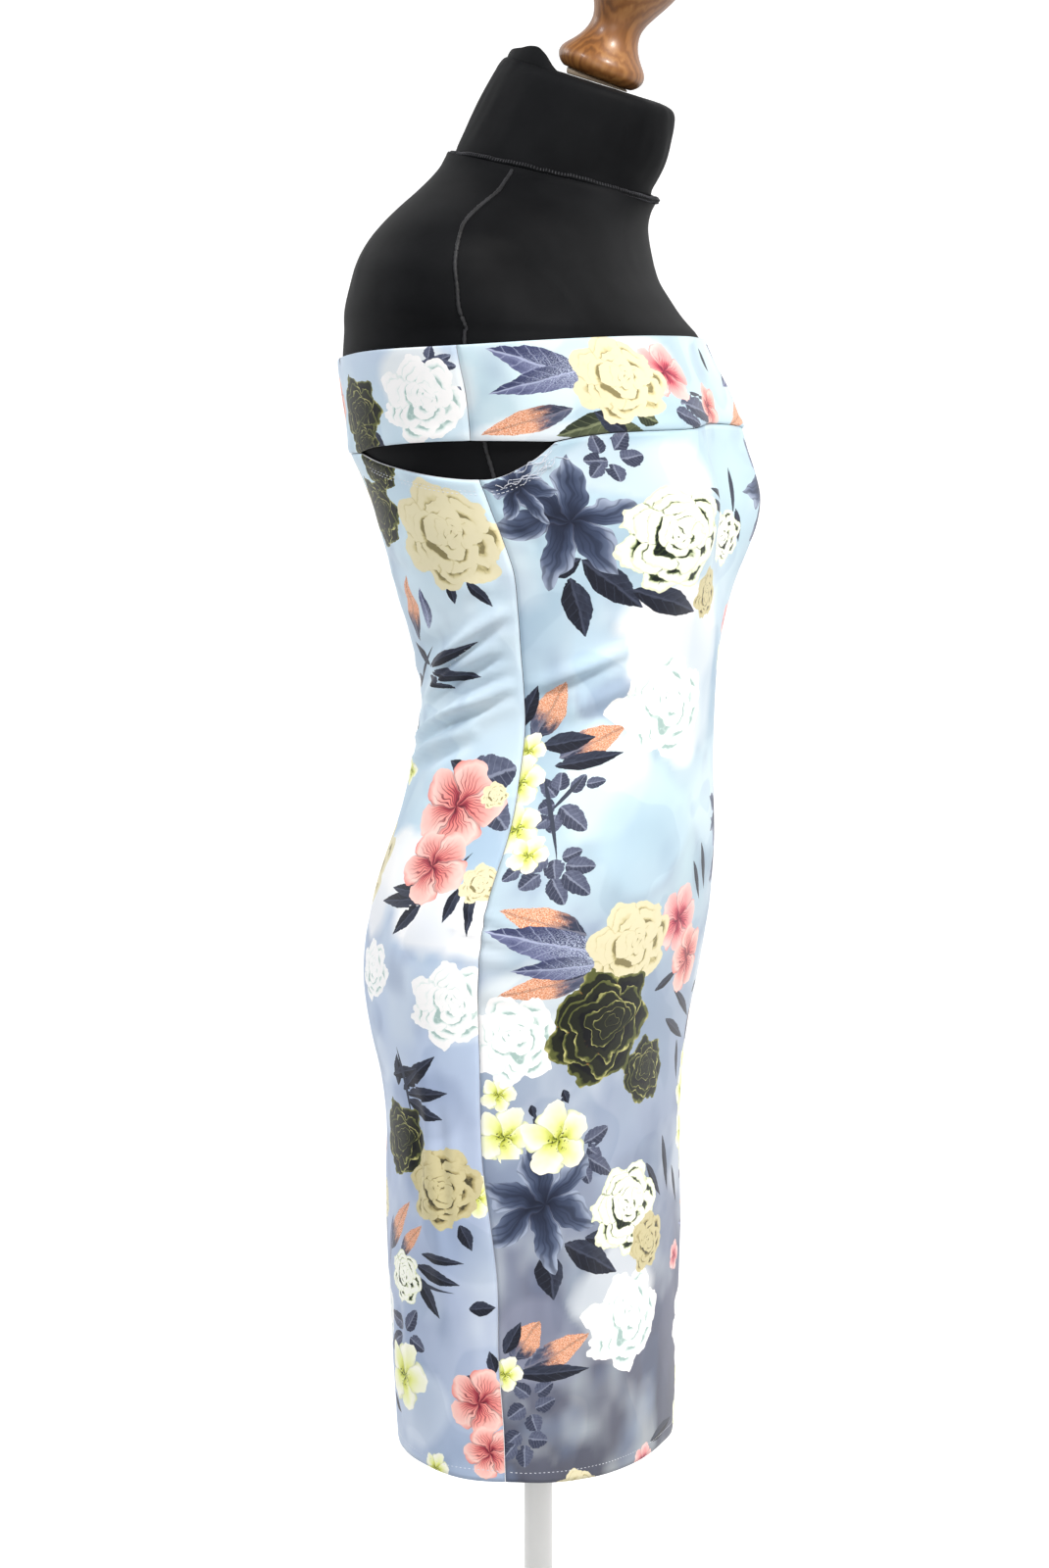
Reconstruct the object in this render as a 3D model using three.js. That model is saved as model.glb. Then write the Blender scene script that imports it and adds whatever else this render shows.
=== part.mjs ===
import * as THREE from 'three';

// Sizes in millimetres, +Z up, front towards -Y, the wearer's right side towards -X.

// dress
const CLOTH = 1.3;            // wall of the skirt and bodice
const BAND_CLOTH = 2.5;       // wall of the doubled band
const CLOTH_CLEAR = 0.5;      // air between the cloth and the form
const BAND_CLEAR = 0.9;         // air between the band and the form
const SEAM_GAP = 0.3;         // air between two pieces that are sewn together
const BAND_SEAM_DEG = 88;     // where the band's side seams sit, from the front centre

// torso of the form
const TORSO_BOTTOM = 593;     // underside of the covered torso
const BOARD_THICK = 12;       // board that closes the torso below
const BOARD_INSET = 4;        // board edge inside the torso edge

// finial, along its own axis
const FINIAL_TILT_DEG = 22;
const FINIAL_FOOT = [0, -41.5, 1255.8];
const PLATE_RADIUS = 27;

// stand
const BASE_RADIUS = 165;
const BASE_THICK = 8;
const POLE_RADIUS = 10;
const FOOT_COLLAR_RADIUS = 22;
const FOOT_COLLAR_HEIGHT = 22;
const TOP_COLLAR_RADIUS = 30;
const TOP_COLLAR_HEIGHT = 34;

// outer face of the worn cloth, one row per level
// bust is how far each breast stands out of the front; shape is the power of the oval
const SECTION_COLUMNS = ['z', 'halfWidth', 'front', 'back', 'bust', 'shape'];
const SECTIONS = [
  [300, 145.0, 91.0, 92.4, 0, 2.10],
  [340, 146.0, 92.4, 94.6, 0, 2.10],
  [380, 147.0, 92.9, 96.8, 0, 2.10],
  [420, 148.5, 93.5, 97.8, 0, 2.10],
  [460, 150.0, 94.4, 98.9, 0, 2.10],
  [500, 153.0, 94.9, 99.7, 0, 2.10],
  [540, 156.0, 95.3, 99.8, 0, 2.10],
  [570, 159.0, 96.6, 102.2, 0, 2.15],
  [600, 162.0, 100.2, 108.6, 0, 2.20],
  [620, 164.0, 104.6, 112.6, 0, 2.20],
  [640, 166.0, 108.4, 114.3, 0, 2.20],
  [662, 167.0, 112.0, 112.8, 0, 2.20],
  [680, 165.0, 115.0, 109.8, 0, 2.20],
  [700, 159.0, 117.3, 106.0, 0, 2.20],
  [720, 151.0, 119.2, 100.4, 0, 2.20],
  [740, 142.0, 120.0, 93.8, 0, 2.20],
  [760, 133.0, 120.0, 88.6, 0, 2.20],
  [780, 125.0, 120.2, 84.8, 0, 2.20],
  [800, 119.5, 120.8, 80.8, 0, 2.20],
  [815, 117.5, 121.4, 78.8, 0, 2.20],
  [830, 118.0, 121.8, 78.0, 0, 2.20],
  [850, 120.5, 122.6, 79.6, 0.5, 2.20],
  [870, 124.0, 123.2, 84.6, 3.0, 2.20],
  [890, 128.0, 120.8, 89.4, 10.0, 2.25],
  [910, 132.0, 117.0, 94.0, 19.5, 2.30],
  [930, 136.5, 113.4, 98.6, 30.5, 2.35],
  [948, 141.0, 110.8, 103.2, 38.7, 2.40],
  [966, 145.0, 108.4, 108.2, 43.0, 2.40],
  [984, 150.0, 106.8, 115.4, 40.4, 2.40],
  [1000, 156.0, 106.4, 122.6, 35.0, 2.35],
  [1020, 163.0, 109.2, 125.6, 26.5, 2.30],
  [1040, 169.5, 111.4, 128.4, 17.0, 2.25],
  [1060, 175.5, 109.0, 130.4, 8.5, 2.20],
  [1080, 180.0, 106.4, 130.0, 2.5, 2.10],
];

// bare upper form, one row per ring; tilt lowers the front of the ring
const SHOULDER_COLUMNS = ['z', 'tilt', 'halfWidth', 'front', 'back', 'shape'];
const SHOULDERS = [
  [1094, 0.5, 182.0, 93.2, 125.6, 2.05],
  [1109, 2.0, 183.0, 84.4, 121.4, 2.00],
  [1123, 3.5, 181.5, 76.5, 115.5, 2.00],
  [1135, 5.0, 176.5, 72.8, 107.5, 2.00],
  [1146, 6.5, 165.0, 71.2, 98.0, 2.00],
  [1156, 8.0, 147.0, 71.0, 88.5, 2.00],
  [1165, 9.5, 125.0, 72.0, 79.6, 2.00],
  [1173, 11.0, 102.0, 74.5, 72.6, 2.00],
  [1180, 12.0, 83.0, 77.8, 67.6, 2.00],
  [1185.5, 13.0, 69.5, 81.0, 65.0, 2.00],
  [1189.5, 13.0, 63.0, 83.0, 63.5, 2.00],
];

// covered neck, same columns; the lowest ring stands on the shoulders
const NECK = [
  [1189.8, 13.0, 57.6, 78.4, 58.4, 2.00],
  [1195, 13.2, 57.4, 79.6, 56.4, 2.00],
  [1202, 13.8, 57.0, 83.4, 52.6, 2.00],
  [1214, 14.8, 56.2, 88.8, 46.4, 2.00],
  [1229, 15.8, 55.6, 92.6, 38.0, 2.00],
  [1242, 16.8, 55.0, 95.0, 29.8, 2.00],
  [1249, 17.4, 53.6, 94.8, 25.2, 2.00],
  [1252.8, 18.0, 49.6, 91.2, 20.6, 2.00],
  [1254.0, 18.0, 43.0, 84.6, 14.4, 2.00],
];
const NECK_ROLL_RADIUS = 2.2;   // sewn roll round the foot of the neck

// turned outline of the finial: distance along the axis, radius
const FINIAL_PROFILE = [
  [0, 24.6], [1.2, 26.6], [4, 29.4], [8, 31.0], [12, 30.4], [15.5, 28.2], [19, 25.2],
  [24, 21.6], [30, 18.8], [37, 17.7], [43, 18.9], [49, 21.6], [55, 24.8], [61, 28.0],
  [68, 31.2], [76, 33.6], [84, 34.6], [93, 33.8], [101, 31.0], [109, 26.0], [115, 19.6],
  [119.5, 12.0], [121.5, 5.4],
];
const FINIAL_LENGTH = 122;

// side seam of the dress: level, degrees from the front centre
const SIDE_SEAM = [
  [300, 79.6], [340, 80.2], [390, 81.6], [440, 81.6], [480, 83.8], [522, 86.4], [560, 86.8],
  [600, 86.2], [650, 87.2], [700, 88.6], [755, 88.0], [795, 88.8], [855, 89.4], [892, 87.6],
  [918, 86.2], [941, 87.0], [958, 88.0], [981, 88.8],
];

// hem: degrees from the front centre, level above the floor
const HEM = [
  [0, 301], [45, 300.4], [70, 302], [85, 304], [105, 304.6], [125, 309], [150, 313], [180, 314],
];

// upper edge of the bodice: degrees from the front centre, level
// from 64 to 135 degrees it is the lower side of the arm opening
const BODICE_TOP = [
  [0, 1018.6], [12, 1017.4], [25, 1014.8], [45, 1012.6], [56, 1009.6], [64, 1006.2],
  [67.5, 1000.6], [72, 994.6], [78, 988.4], [84, 983.2], [89, 981.0], [97, 982.0],
  [104, 984.0], [113, 987.4], [122, 991.0], [129, 994.6], [135, 998.2], [150, 997.8],
  [180, 997.4],
];

// lower edge of the band; away from the arm opening it follows the bodice
const BAND_BOTTOM = [
  [0, 1018.9], [12, 1017.7], [25, 1015.1], [45, 1012.9], [56, 1009.9], [64, 1006.6],
  [78, 1007.0], [89, 1007.0], [104, 1005.6], [122, 1002.6], [129, 1000.6], [135, 998.5],
  [150, 998.1], [180, 997.7],
];

// folded top edge of the band
const BAND_TOP = [
  [0, 1078.6], [30, 1077.2], [60, 1073.4], [90, 1069.2], [120, 1066.6], [150, 1062.4],
  [180, 1060.4],
];

// lasting folds of the worn cloth: a ridge line from one point to another,
// degrees from the front centre (minus on the wearer's right), level,
// half width and height of the ridge
const FOLDS = [
  { a: [-131, 845], b: [-93, 882], wide: 9, high: 3.0 },
  { a: [-140, 830], b: [-112, 843], wide: 7, high: 2.2 },
  { a: [-146, 796], b: [-93, 834], wide: 8, high: 3.4 },
  { a: [-156, 905], b: [-128, 884], wide: 13, high: 1.8 },
  { a: [-75, 842], b: [-44, 868], wide: 12, high: 2.2 },
  { a: [-108, 590], b: [-103, 420], wide: 15, high: 2.4 },
  { a: [-58, 480], b: [-62, 380], wide: 15, high: 2.2 },
  { a: [128, 843], b: [95, 876], wide: 9, high: 2.8 },
  { a: [144, 800], b: [96, 832], wide: 8, high: 3.2 },
  { a: [152, 900], b: [126, 880], wide: 13, high: 1.8 },
  { a: [74, 846], b: [46, 866], wide: 12, high: 2.0 },
  { a: [110, 580], b: [104, 410], wide: 15, high: 2.2 },
  { a: [56, 470], b: [60, 370], wide: 15, high: 2.0 },
  { a: [176, 560], b: [170, 400], wide: 18, high: 1.6 },
];

// mesh lines of the cloth: levels (the last one is the upper edge) and degrees
const LEVELS = [
  300, 308, 335, 370, 405, 440, 475, 510, 545, 575, 602, 630, 660, 690, 715, 738, 757, 773,
  786, 796, 806, 816, 826, 836, 846, 856, 866, 876, 888, 902, 918, 934, 950, 966, 980, 994, 1006,
];
const STRETCH_FROM = 934;     // levels above this one spread up to the upper edge
const STRETCH_BELOW = 370;    // levels below this one spread down to the hem
const FRONT_COLUMNS = [0, 8, 16, 24, 32, 39, 45, 51, 57, 64, 68.5, 73, 78, 84, 90];
const BACK_COLUMNS = [90, 97, 104, 112, 120, 128, 135, 143, 152, 161, 170.5, 180];
const BAND_FRONT_COLUMNS = [0, 8, 16, 24, 32, 39, 45, 51, 57, 64, 72, 80, BAND_SEAM_DEG];
const BAND_BACK_COLUMNS = [BAND_SEAM_DEG, 96, 104, 112, 120, 128, 135, 143, 152, 161, 170.5, 180];

const rad = THREE.MathUtils.degToRad;

// smooth value between the rows of a table whose first column is the key
function along(table, column, key) {
  const last = table.length - 1;
  if (key <= table[0][0]) return table[0][column];
  if (key >= table[last][0]) return table[last][column];
  let i = 0;
  while (table[i + 1][0] < key) i += 1;
  const slope = (j) => {
    const lo = Math.max(0, j - 1);
    const hi = Math.min(last, j + 1);
    return (table[hi][column] - table[lo][column]) / (table[hi][0] - table[lo][0]);
  };
  const h = table[i + 1][0] - table[i][0];
  const t = (key - table[i][0]) / h;
  const t2 = t * t;
  const t3 = t2 * t;
  return table[i][column] * (2 * t3 - 3 * t2 + 1) + table[i + 1][column] * (3 * t2 - 2 * t3)
    + h * (slope(i) * (t3 - 2 * t2 + t) + slope(i + 1) * (t3 - t2));
}

// straight value between rows, for edges that have corners
function straight(table, column, key) {
  const last = table.length - 1;
  if (key <= table[0][0]) return table[0][column];
  if (key >= table[last][0]) return table[last][column];
  let i = 0;
  while (table[i + 1][0] < key) i += 1;
  const t = (key - table[i][0]) / (table[i + 1][0] - table[i][0]);
  return table[i][column] * (1 - t) + table[i + 1][column] * t;
}

// point of an oval, degrees from the front centre
function oval(deg, halfWidth, front, back, shape) {
  const s = Math.sin(rad(deg));
  const c = Math.cos(rad(deg));
  const p = 2 / shape;
  const middle = (back - front) / 2;
  const half = (back + front) / 2;
  return [
    halfWidth * Math.sign(s) * Math.abs(s) ** p,
    middle - half * Math.sign(c) * Math.abs(c) ** p,
  ];
}

// how far the breasts stand out at a place across the front
function breast(x, deg, height) {
  const c = Math.cos(rad(deg));
  if (c <= 0 || height <= 0) return 0;
  const across = Math.abs(x);
  const inner = Math.min(1, across / 78);
  const bridge = 0.5 + 0.5 * inner * inner * (3 - 2 * inner);
  const outer = Math.exp(-(((across - 78) / 40) ** 2));
  return height * (across < 78 ? bridge : outer) * Math.min(1, c / 0.35);
}

// outer face of the worn cloth without its folds
function cloth(deg, z) {
  const get = (name) => along(SECTIONS, SECTION_COLUMNS.indexOf(name), z);
  const [x, y] = oval(deg, get('halfWidth'), get('front'), get('back'), get('shape'));
  return new THREE.Vector3(x, y - breast(x, deg, get('bust')), z);
}

function clothNormal(deg, z) {
  const around = cloth(deg + 0.5, z).sub(cloth(deg - 0.5, z));
  const up = cloth(deg, z + 1).sub(cloth(deg, z - 1));
  return around.cross(up).normalize();
}

// height of the folds at a place on the cloth
function fold(deg, z) {
  let high = 0;
  const radius = along(SECTIONS, 1, z);
  for (const row of FOLDS) {
    const ax = rad(row.a[0]) * radius;
    const bx = rad(row.b[0]) * radius;
    const px = rad(deg) * radius;
    const dx = bx - ax;
    const dz = row.b[1] - row.a[1];
    const length = Math.hypot(dx, dz);
    const t = ((px - ax) * dx + (z - row.a[1]) * dz) / (length * length);
    const off = ((px - ax) * dz - (z - row.a[1]) * dx) / length;
    const end = Math.max(0, -t, t - 1) * length / row.wide;
    const fade = Math.sin(Math.PI * Math.min(1, Math.max(0, 0.12 + 0.76 * t)));
    high += row.high * fade * Math.exp(-((off / row.wide) ** 2) - end * end);
  }
  return high;
}

// place at a depth inside the outer face, moved out with the folds
function wall(deg, z, depth) {
  const wrapped = deg > 180 ? deg - 360 : deg;
  const p = cloth(wrapped, z);
  const lift = fold(wrapped, z);
  return p.add(clothNormal(wrapped, z).multiplyScalar(lift - depth));
}

function material(color, roughness, metalness = 0) {
  return new THREE.MeshStandardMaterial({ color, roughness, metalness });
}

function toMesh(name, points, triangles, look) {
  const geometry = new THREE.BufferGeometry();
  geometry.setAttribute('position', new THREE.Float32BufferAttribute(
    points.flatMap((p) => [p.x, p.y, p.z]), 3));
  geometry.setIndex(triangles);
  geometry.computeVertexNormals();
  const mesh = new THREE.Mesh(geometry, look);
  mesh.name = name;
  return mesh;
}

// closed wall from two grids of points, [column][row], seen from outside
// with columns running anticlockwise from above and rows running up
function wallMesh(name, outer, inner, look) {
  const columns = outer.length;
  const rows = outer[0].length;
  const points = [...outer.flat(), ...inner.flat()];
  const o = (i, j) => i * rows + j;
  const n = (i, j) => columns * rows + i * rows + j;
  const triangles = [];
  const quad = (a, b, c, d) => triangles.push(a, b, c, a, c, d);
  for (let i = 0; i < columns - 1; i += 1) {
    for (let j = 0; j < rows - 1; j += 1) {
      quad(o(i, j), o(i + 1, j), o(i + 1, j + 1), o(i, j + 1));
      quad(n(i, j), n(i, j + 1), n(i + 1, j + 1), n(i + 1, j));
    }
    quad(n(i, 0), n(i + 1, 0), o(i + 1, 0), o(i, 0));
    quad(o(i, rows - 1), o(i + 1, rows - 1), n(i + 1, rows - 1), n(i, rows - 1));
  }
  for (let j = 0; j < rows - 1; j += 1) {
    quad(n(0, j), o(0, j), o(0, j + 1), n(0, j + 1));
    quad(o(columns - 1, j), n(columns - 1, j), n(columns - 1, j + 1), o(columns - 1, j + 1));
  }
  return toMesh(name, points, triangles, look);
}

// solid of stacked rings of equal count, closed by fans at both ends
function stackMesh(name, rings, look) {
  const count = rings[0].length;
  const points = rings.flat();
  const triangles = [];
  for (let i = 0; i < rings.length - 1; i += 1) {
    for (let k = 0; k < count; k += 1) {
      const a = i * count + k;
      const b = i * count + (k + 1) % count;
      triangles.push(a, b, b + count, a, b + count, a + count);
    }
  }
  const middle = (ring) => ring.reduce((sum, p) => sum.add(p), new THREE.Vector3())
    .multiplyScalar(1 / count);
  const low = points.length;
  points.push(middle(rings[0]), middle(rings[rings.length - 1]));
  const top = (rings.length - 1) * count;
  for (let k = 0; k < count; k += 1) {
    const next = (k + 1) % count;
    triangles.push(low, next, k, low + 1, top + k, top + next);
  }
  return toMesh(name, points, triangles, look);
}

// turned solid from rows of height and radius
function turned(name, profile, look, count = 32) {
  return stackMesh(name, profile.map(([z, radius]) => circle(radius, z, count)), look);
}

function circle(radius, z, count) {
  return Array.from({ length: count }, (_, k) => {
    const t = (2 * Math.PI * k) / count;
    return new THREE.Vector3(radius * Math.cos(t), radius * Math.sin(t), z);
  });
}

// ring of the upper form or neck from a table row
function tiltedRing(row, degreesList) {
  const get = (name) => row[SHOULDER_COLUMNS.indexOf(name)];
  const middle = (get('back') - get('front')) / 2;
  return degreesList.map((deg) => {
    const [x, y] = oval(deg, get('halfWidth'), get('front'), get('back'), get('shape'));
    return new THREE.Vector3(x, y, get('z') + (y - middle) * Math.tan(rad(get('tilt'))));
  });
}

function evenDegrees(count) {
  return Array.from({ length: count }, (_, k) => (360 * k) / count);
}

// level of a mesh line of the body at a column, spread to the hem and the bodice edge
function levelAt(level, column) {
  const key = Math.abs(column > 180 ? 360 - column : column);
  const first = LEVELS[0];
  const last = LEVELS[LEVELS.length - 1];
  const spread = (edge, end, from) => from + ((level - from) * (edge - from)) / (end - from);
  if (level > STRETCH_FROM) return spread(straight(BODICE_TOP, 1, key), last, STRETCH_FROM);
  if (level < STRETCH_BELOW) return spread(along(HEM, 1, key), first, STRETCH_BELOW);
  return level;
}

// place round the body of a mesh column; columns at 90 degrees follow the side seams
function frontDegrees(column, z, gap = 0) {
  return column * ((along(SIDE_SEAM, 1, z) - gap) / 90);
}

function backDegrees(column, z, gap = 0) {
  return 180 + (column - 180) * ((180 - along(SIDE_SEAM, 1, z) - gap) / 90);
}

// dress panel between the side seams
function panel(name, columns, degrees, look) {
  const grid = (depth) => columns.map((column) => LEVELS.map((level) => {
    const z = levelAt(level, column);
    return wall(degrees(column, z, gapDegrees(z)), z, depth);
  }));
  return wallMesh(name, grid(0), grid(CLOTH), look);
}

function mirrored(columns) {
  return [...columns.slice(1).reverse().map((c) => -c), ...columns];
}

// half of the seam gap as an angle at the side
function gapDegrees(z) {
  const side = along(SECTIONS, 2, z) / 2 + along(SECTIONS, 3, z) / 2;
  return THREE.MathUtils.radToDeg(SEAM_GAP / 2 / side);
}

function frontPanel(look) {
  return panel('front_panel', mirrored(FRONT_COLUMNS), frontDegrees, look);
}

function backPanel(look) {
  const half = BACK_COLUMNS.slice(0, -1).map((c) => 360 - c).reverse();
  return panel('back_panel', [...BACK_COLUMNS, ...half], backDegrees, look);
}

// doubled band: outer layer up, over the fold and down again
function band(name, degreesList, look) {
  const rise = [0, 0.2, 0.45, 0.7, 0.9, 1];
  const turnHeight = 1.2;
  const grid = (inside) => degreesList.map((deg) => {
    const key = Math.abs(deg > 180 ? deg - 360 : deg);
    const low = straight(BAND_BOTTOM, 1, key);
    const high = along(BAND_TOP, 1, key) - turnHeight;
    const column = rise.map((t) => wall(deg, low + t * (high - low), inside ? BAND_CLOTH : 0));
    const crest = wall(deg, high + turnHeight, inside ? BAND_CLOTH * 0.72 : BAND_CLOTH * 0.28);
    return [...column, crest];
  });
  return wallMesh(name, grid(false), grid(true), look);
}

function bandFront(look) {
  const gap = gapDegrees(1040);
  const list = mirrored(BAND_FRONT_COLUMNS);
  list[0] += gap;
  list[list.length - 1] -= gap;
  return band('band_front', list, look);
}

function bandBack(look) {
  const gap = gapDegrees(1040);
  const half = BAND_BACK_COLUMNS.slice(0, -1).map((c) => 360 - c).reverse();
  const list = [...BAND_BACK_COLUMNS, ...half];
  list[0] += gap;
  list[list.length - 1] -= gap;
  return band('band_back', list, look);
}

// mesh columns all round the body, from the wearer's right side seam by the front
function bodyColumns() {
  const half = BACK_COLUMNS.slice(1, -1).map((c) => 360 - c).reverse();
  return [...mirrored(FRONT_COLUMNS), ...BACK_COLUMNS.slice(1), ...half];
}

// ring of the form inside the cloth; height is a level or a function of the column
function formRing(height, depth) {
  return bodyColumns().map((column) => {
    const z = typeof height === 'function' ? height(column) : height;
    const deg = Math.abs(column) <= 90 ? frontDegrees(column, z) : backDegrees(column, z);
    const wrapped = deg > 180 ? deg - 360 : deg;
    return cloth(wrapped, z).addScaledVector(clothNormal(wrapped, z), -depth);
  });
}

function formTorso(look) {
  const under = CLOTH_CLEAR + CLOTH;
  const underBand = BAND_CLEAR + BAND_CLOTH;
  const bottom = formRing(TORSO_BOTTOM, under);
  const rings = [
    bottom.map((p) => new THREE.Vector3(p.x * 0.985, p.y * 0.985, TORSO_BOTTOM)),
    bottom.map((p) => new THREE.Vector3(p.x, p.y, TORSO_BOTTOM + 4)),
  ];
  for (const level of LEVELS.filter((v) => v > TORSO_BOTTOM + 5)) {
    const last = level === LEVELS[LEVELS.length - 1];
    rings.push(formRing((column) => levelAt(level, column), last ? underBand : under));
  }
  for (const rise of [0.22, 0.42, 0.64, 0.84, 1]) {
    rings.push(formRing((column) => {
      const key = Math.abs(column > 180 ? 360 - column : column);
      const low = straight(BODICE_TOP, 1, key);
      return low + rise * (along(BAND_TOP, 1, key) - low);
    }, underBand));
  }
  rings.push(...SHOULDERS.map((row) => tiltedRing(row, bodyColumns())));
  return stackMesh('form_torso', rings, look);
}

function formNeck(look) {
  return stackMesh('form_neck', NECK.map((row) => tiltedRing(row, evenDegrees(40))), look);
}

// sewn roll that lies in the step between shoulders and neck
function neckSeam(look) {
  const count = 48;
  const sides = 6;
  const foot = SHOULDERS[SHOULDERS.length - 1];
  const off = NECK_ROLL_RADIUS + SEAM_GAP;
  const path = tiltedRing([
    foot[0], foot[1], NECK[0][2] + off, NECK[0][3] + off + 1, NECK[0][4] + off, 2,
  ], evenDegrees(count));
  const points = [];
  const triangles = [];
  const tilt = rad(foot[1]);
  const up = new THREE.Vector3(0, -Math.sin(tilt), Math.cos(tilt));
  for (let k = 0; k < count; k += 1) {
    const along3 = path[(k + 1) % count].clone().sub(path[(k + count - 1) % count]).normalize();
    const out = along3.clone().cross(up).normalize();
    const centre = path[k].clone().addScaledVector(up, NECK_ROLL_RADIUS + SEAM_GAP);
    for (let s = 0; s < sides; s += 1) {
      const t = (2 * Math.PI * s) / sides;
      points.push(centre.clone().addScaledVector(out, NECK_ROLL_RADIUS * Math.cos(t))
        .addScaledVector(up, NECK_ROLL_RADIUS * Math.sin(t)));
      const a = k * sides + s;
      const b = k * sides + (s + 1) % sides;
      const c = ((k + 1) % count) * sides + s;
      const d = ((k + 1) % count) * sides + (s + 1) % sides;
      triangles.push(a, c, d, a, d, b);
    }
  }
  return toMesh('neck_seam', points, triangles, look);
}

// thin plate between the sloping neck top and the finial
function neckPlate(look) {
  const count = 36;
  const top = rad(FINIAL_TILT_DEG);
  const neckTop = NECK[NECK.length - 1];
  const under = rad(neckTop[1]);
  const neckMiddle = (neckTop[4] - neckTop[3]) / 2;
  const [, footY, footZ] = FINIAL_FOOT;
  const rings = [];
  rings.push(circle(PLATE_RADIUS, 0, count).map((p) => {
    const y = footY + p.y * Math.cos(under);
    return new THREE.Vector3(p.x, y, neckTop[0] + (y - neckMiddle) * Math.tan(under) + SEAM_GAP);
  }));
  rings.push(circle(PLATE_RADIUS, 0, count).map((p) => {
    const y = footY + p.y * Math.cos(top);
    return new THREE.Vector3(p.x, y, footZ - SEAM_GAP + (y - footY) * Math.tan(top));
  }));
  return stackMesh('neck_plate', rings, look);
}

function finial(look) {
  const mesh = turned('finial', [...FINIAL_PROFILE, [FINIAL_LENGTH, 1.2]], look, 28);
  mesh.geometry.rotateX(rad(FINIAL_TILT_DEG));
  mesh.geometry.translate(...FINIAL_FOOT);
  return mesh;
}

function stand(group, paint, wood) {
  const boardTop = TORSO_BOTTOM - SEAM_GAP;
  const boardBottom = boardTop - BOARD_THICK;
  const ring = formRing(TORSO_BOTTOM, CLOTH_CLEAR + CLOTH);
  const at = (z, inset) => ring.map((p) => {
    const flat = new THREE.Vector3(p.x, p.y, 0);
    const shorter = flat.clone().setLength(flat.length() - inset);
    return new THREE.Vector3(shorter.x, shorter.y, z);
  });
  group.add(stackMesh('torso_board', [
    at(boardBottom, BOARD_INSET + 2), at(boardBottom + 2, BOARD_INSET), at(boardTop, BOARD_INSET),
  ], wood));
  const collarTop = boardBottom - SEAM_GAP;
  const collarBottom = collarTop - TOP_COLLAR_HEIGHT;
  group.add(turned('top_collar', [
    [collarBottom, POLE_RADIUS + 3], [collarBottom + 1.5, POLE_RADIUS + 4.5],
    [collarTop - 6, POLE_RADIUS + 5], [collarTop - 5, TOP_COLLAR_RADIUS - 1],
    [collarTop - 4, TOP_COLLAR_RADIUS], [collarTop, TOP_COLLAR_RADIUS],
  ], paint));
  const footBottom = BASE_THICK + SEAM_GAP;
  const footTop = footBottom + FOOT_COLLAR_HEIGHT;
  group.add(turned('foot_collar', [
    [footBottom, FOOT_COLLAR_RADIUS], [footBottom + 4, FOOT_COLLAR_RADIUS],
    [footBottom + 6, POLE_RADIUS + 6], [footTop - 1.5, POLE_RADIUS + 4.5],
    [footTop, POLE_RADIUS + 3],
  ], paint));
  group.add(turned('pole', [
    [footTop + SEAM_GAP, POLE_RADIUS], [collarBottom - SEAM_GAP, POLE_RADIUS],
  ], paint));
  group.add(turned('base_plate', [
    [0, BASE_RADIUS - 1], [1, BASE_RADIUS], [BASE_THICK - 2, BASE_RADIUS],
    [BASE_THICK, BASE_RADIUS - 2],
  ], paint, 56));
}

function build() {
  const group = new THREE.Group();
  const blue = material(0xa9b6c9, 0.75);
  const black = material(0x16171a, 0.9);
  const walnut = material(0x6d3a1f, 0.35);
  const pale = material(0xd9d6cf, 0.6);
  const paint = material(0xe6e6e3, 0.4, 0);
  group.add(frontPanel(blue), backPanel(blue), bandFront(blue), bandBack(blue));
  group.add(formTorso(black), formNeck(black), neckSeam(black));
  group.add(neckPlate(pale), finial(walnut));
  stand(group, paint, walnut);
  return group;
}

export default build();
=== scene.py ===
import math

import bpy
import numpy as np
from mathutils import Matrix, Vector


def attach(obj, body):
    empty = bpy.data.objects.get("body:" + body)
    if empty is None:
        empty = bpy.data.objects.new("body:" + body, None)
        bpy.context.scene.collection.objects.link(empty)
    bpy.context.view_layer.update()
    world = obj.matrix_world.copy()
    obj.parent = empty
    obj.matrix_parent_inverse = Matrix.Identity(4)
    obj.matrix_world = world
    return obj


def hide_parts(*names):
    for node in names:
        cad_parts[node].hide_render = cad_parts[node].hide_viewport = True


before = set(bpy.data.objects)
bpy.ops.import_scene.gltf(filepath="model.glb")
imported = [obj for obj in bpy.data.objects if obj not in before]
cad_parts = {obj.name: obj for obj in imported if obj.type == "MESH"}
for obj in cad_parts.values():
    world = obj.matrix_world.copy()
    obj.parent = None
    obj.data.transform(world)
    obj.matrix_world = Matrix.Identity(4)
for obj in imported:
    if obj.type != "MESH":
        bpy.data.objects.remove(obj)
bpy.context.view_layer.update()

MM = 0.001

# sizes, millimetres
WALL = 1.3
BAND_WALL = 2.5
CELL = 3.7
DEEPEST = 2.7
SEAM_DIP = 0.7
SEAM_DIP_WIDTH = 2.6
STITCH_DIP_WIDTH = 1.6
HEM_STITCH = 8.0
ARM_STITCH = 8.5
STITCH, STITCH_GAP, THREAD = 2.4, 0.9, 0.26
LOOSE_THREAD = 0.23
BAND_FOOT_ROLL = 1.1
ROLL_DROOP = 3.4
FLAP_THICK = 1.6
KNIT_PITCH = 0.9
KNIT_DEPTH = 0.05
BUST_ACROSS, BUST_SPREAD = 78, 40
FREE_BELOW, FREE_FADE = 590, 120
CLOTH_TOP = 1079.5
TORSO_FOOT = 593.0
SHOULDER_LEVEL = 1080

# degrees from the front centre
BAND_SEAM_DEG = 88
BAND_GAP_DEG = 0.08
SEAM_GAP_DEG = 0.09
ARM_FRONT = 64
ARM_BACK = 135

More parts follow.
